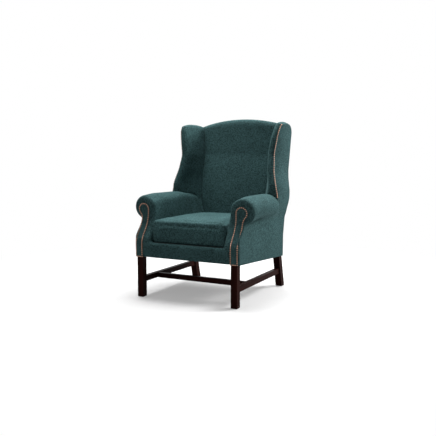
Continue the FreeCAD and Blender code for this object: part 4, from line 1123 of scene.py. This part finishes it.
def facing_path():
    """Line of the facing's nails: up the inner side, round the head and down the outer side."""
    inner = FACING_INNER + NAIL_INSET
    outer = FACING_OUTER - NAIL_INSET
    x0, z0, radius = HEAD[0], HEAD[1], HEAD[2] - NAIL_INSET
    flat = []
    for step in range(int((z0 - FACING_FOOT) / PATH_STEP)):
        z = NAIL_FOOT + step * PATH_STEP
        flat.append((inner + (x0 - radius - inner) * ease(NECK_PASS[0], z0, z), z))
    for step in range(60):
        angle = math.radians(180 - (180 - NECK_ANGLE) * step / 59)
        flat.append((x0 + radius * math.cos(angle), z0 + radius * math.sin(angle)))
    last_x, last_z = flat[-1]
    for step in range(1, 12):
        share = step / 11
        swing = math.sin(share * math.pi / 2)
        flat.append((last_x + (outer - last_x) * swing, last_z + (NECK_FOOT - last_z) * share))
    z = NECK_FOOT
    while z > FACING_FOOT + 6:
        z -= PATH_STEP
        flat.append((outer, z))
    return on_facing(flat)


def wing_path():
    """Line of the right wing's nails before it is laid on the covers."""
    line = []
    z, top = WING_NAIL_HEIGHTS
    while z < top:
        x, y = wing_line(z)[:2]
        line.append(at(x + WING_NAIL_SHIFT[0], y + WING_NAIL_SHIFT[1], z))
        z += PATH_STEP
    return line


class ARMCHAIR_OT_nails(bpy.types.Operator):
    """Domed nails along the facings and the wings"""
    bl_idname = "armchair.nails"
    bl_label = "Nails"
    bl_options = {"REGISTER", "UNDO"}

    def execute(self, context):
        pitch = settings().nail_pitch
        corner = NAIL_INSET + pitch * 1000
        foot = on_facing([(x, NAIL_FOOT) for x in (FACING_INNER + corner, FACING_OUTER - corner)])
        around = evenly(facing_path(), pitch) + evenly(foot, pitch)
        places = [(p, facing_normal(p.z * 1000)) for p in around]
        outward = Vector(WING_NAIL_WAY).normalized()
        covers = ["wing_cover_right", "outer_cover_right"]
        line = evened([point for point, _ in laid_on(wing_path(), covers, outward)], 6)
        points = evenly(line, pitch)
        ways = evened([way for _, way in laid_on(points, covers, outward)], 4)
        wing = [(point, way.normalized()) for point, way in zip(points, ways)]
        for side, sign in SIDES:
            nail_row(f"facing_nails_{side}", places, sign)
            nail_row(f"wing_nails_{side}", wing, sign)
        return {"FINISHED"}


# Studio

def area_lamp(name, place, height, size, power):
    """Soft square lamp aimed at a height above the origin."""
    data = bpy.data.lights.new(name, "AREA")
    data.shape = "RECTANGLE"
    data.size = data.size_y = size
    data.energy = power
    lamp = bpy.data.objects.new(name, data)
    bpy.context.scene.collection.objects.link(lamp)
    lamp.location = place
    lamp.rotation_euler = (Vector((0, 0, height)) - Vector(place)).to_track_quat("-Z", "Y").to_euler()


def seen_white(tree, shader_output, share):
    """Mix a shader with plain white for camera, glossy and transmission rays."""
    path = tree.nodes.new("ShaderNodeLightPath")
    rays = math_node(tree, "MAXIMUM", path.outputs["Is Camera Ray"], path.outputs["Is Glossy Ray"])
    rays = math_node(tree, "MAXIMUM", rays, path.outputs["Is Transmission Ray"])
    white = tree.nodes.new("ShaderNodeEmission")
    white.inputs["Color"].default_value = (1, 1, 1, 1)
    mix = tree.nodes.new("ShaderNodeMixShader")
    tree.links.new(math_node(tree, "MULTIPLY", rays, share), mix.inputs[0])
    tree.links.new(shader_output, mix.inputs[1])
    tree.links.new(white.outputs[0], mix.inputs[2])
    return mix.outputs[0]


class ARMCHAIR_OT_stage(bpy.types.Operator):
    """Pale floor, soft studio light and the camera"""
    bl_idname = "armchair.stage"
    bl_label = "Studio"
    bl_options = {"REGISTER", "UNDO"}

    def execute(self, context):
        scene = context.scene
        scene.view_settings.view_transform = "Standard"
        bm = bmesh.new()
        bmesh.ops.create_grid(bm, x_segments=2, y_segments=2, size=FLOOR_SIZE)
        floor = scene_object("studio_floor", bm)
        material, tree, shader, place = base_material("studio_white")
        path = tree.nodes.new("ShaderNodeLightPath")
        color = mix_colors(tree, path.outputs["Is Camera Ray"], FLOOR_GREY, FLOOR_SEEN)
        feed_all(tree, shader, Base_Color=color, Roughness=0.9, Specular_IOR_Level=0.0)
        away = node(tree, "ShaderNodeVectorMath", [("Vector", place)], operation="LENGTH")
        share = spread_to(tree, away.outputs["Value"], *FLOOR_FADE, *FLOOR_SHARE)
        feed_all(tree, tree.nodes["Material Output"], Surface=seen_white(tree, shader.outputs[0], share))
        floor.data.materials.append(material)

        world = bpy.data.worlds.new("studio")
        scene.world = world
        world.use_nodes = True
        tree = world.node_tree
        background = tree.nodes["Background"]
        feed_all(tree, background, Color=(1, 1, 1), Strength=WORLD_STRENGTH)
        feed_all(tree, tree.nodes["World Output"], Surface=seen_white(tree, background.outputs[0], 1.0))
        for lamp in LAMPS:
            area_lamp(*lamp)

        data = bpy.data.cameras.new("photo_camera")
        data.lens = CAMERA_LENS
        data.sensor_width = CAMERA_SENSOR
        camera = bpy.data.objects.new("photo_camera", data)
        scene.collection.objects.link(camera)
        camera.location = at(*CAMERA_PLACE)
        camera.rotation_euler = [math.radians(angle) for angle in CAMERA_TURN]
        scene.camera = camera
        return {"FINISHED"}


STEPS = (ARMCHAIR_OT_stage, ARMCHAIR_OT_wood, ARMCHAIR_OT_arms, ARMCHAIR_OT_facings, ARMCHAIR_OT_wings,
         ARMCHAIR_OT_outer_covers, ARMCHAIR_OT_inside_back, ARMCHAIR_OT_seat, ARMCHAIR_OT_cushion,
         ARMCHAIR_OT_nails)


class ARMCHAIR_PT_panel(bpy.types.Panel):
    """Sidebar panel with the armchair's settings and pieces"""
    bl_idname = "ARMCHAIR_PT_panel"
    bl_label = "Wing Armchair"
    bl_space_type = "VIEW_3D"
    bl_region_type = "UI"
    bl_category = "Armchair"

    def draw(self, context):
        column = self.layout.column()
        for name in ArmchairSettings.__annotations__:
            column.prop(context.scene.armchair, name)
        for step in STEPS:
            column.operator(step.bl_idname)


CLASSES = (ArmchairSettings, *STEPS, ARMCHAIR_PT_panel)


def register():
    for cls in CLASSES:
        bpy.utils.register_class(cls)
    bpy.types.Scene.armchair = PointerProperty(type=ArmchairSettings)


def unregister():
    del bpy.types.Scene.armchair
    for cls in reversed(CLASSES):
        bpy.utils.unregister_class(cls)


def main():
    register()
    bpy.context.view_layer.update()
    MATERIALS.update(make_materials())
    for step in STEPS:
        group, name = step.bl_idname.split(".")
        getattr(getattr(bpy.ops, group), name)()
    bpy.context.view_layer.update()


if __name__ == "__main__":
    main()
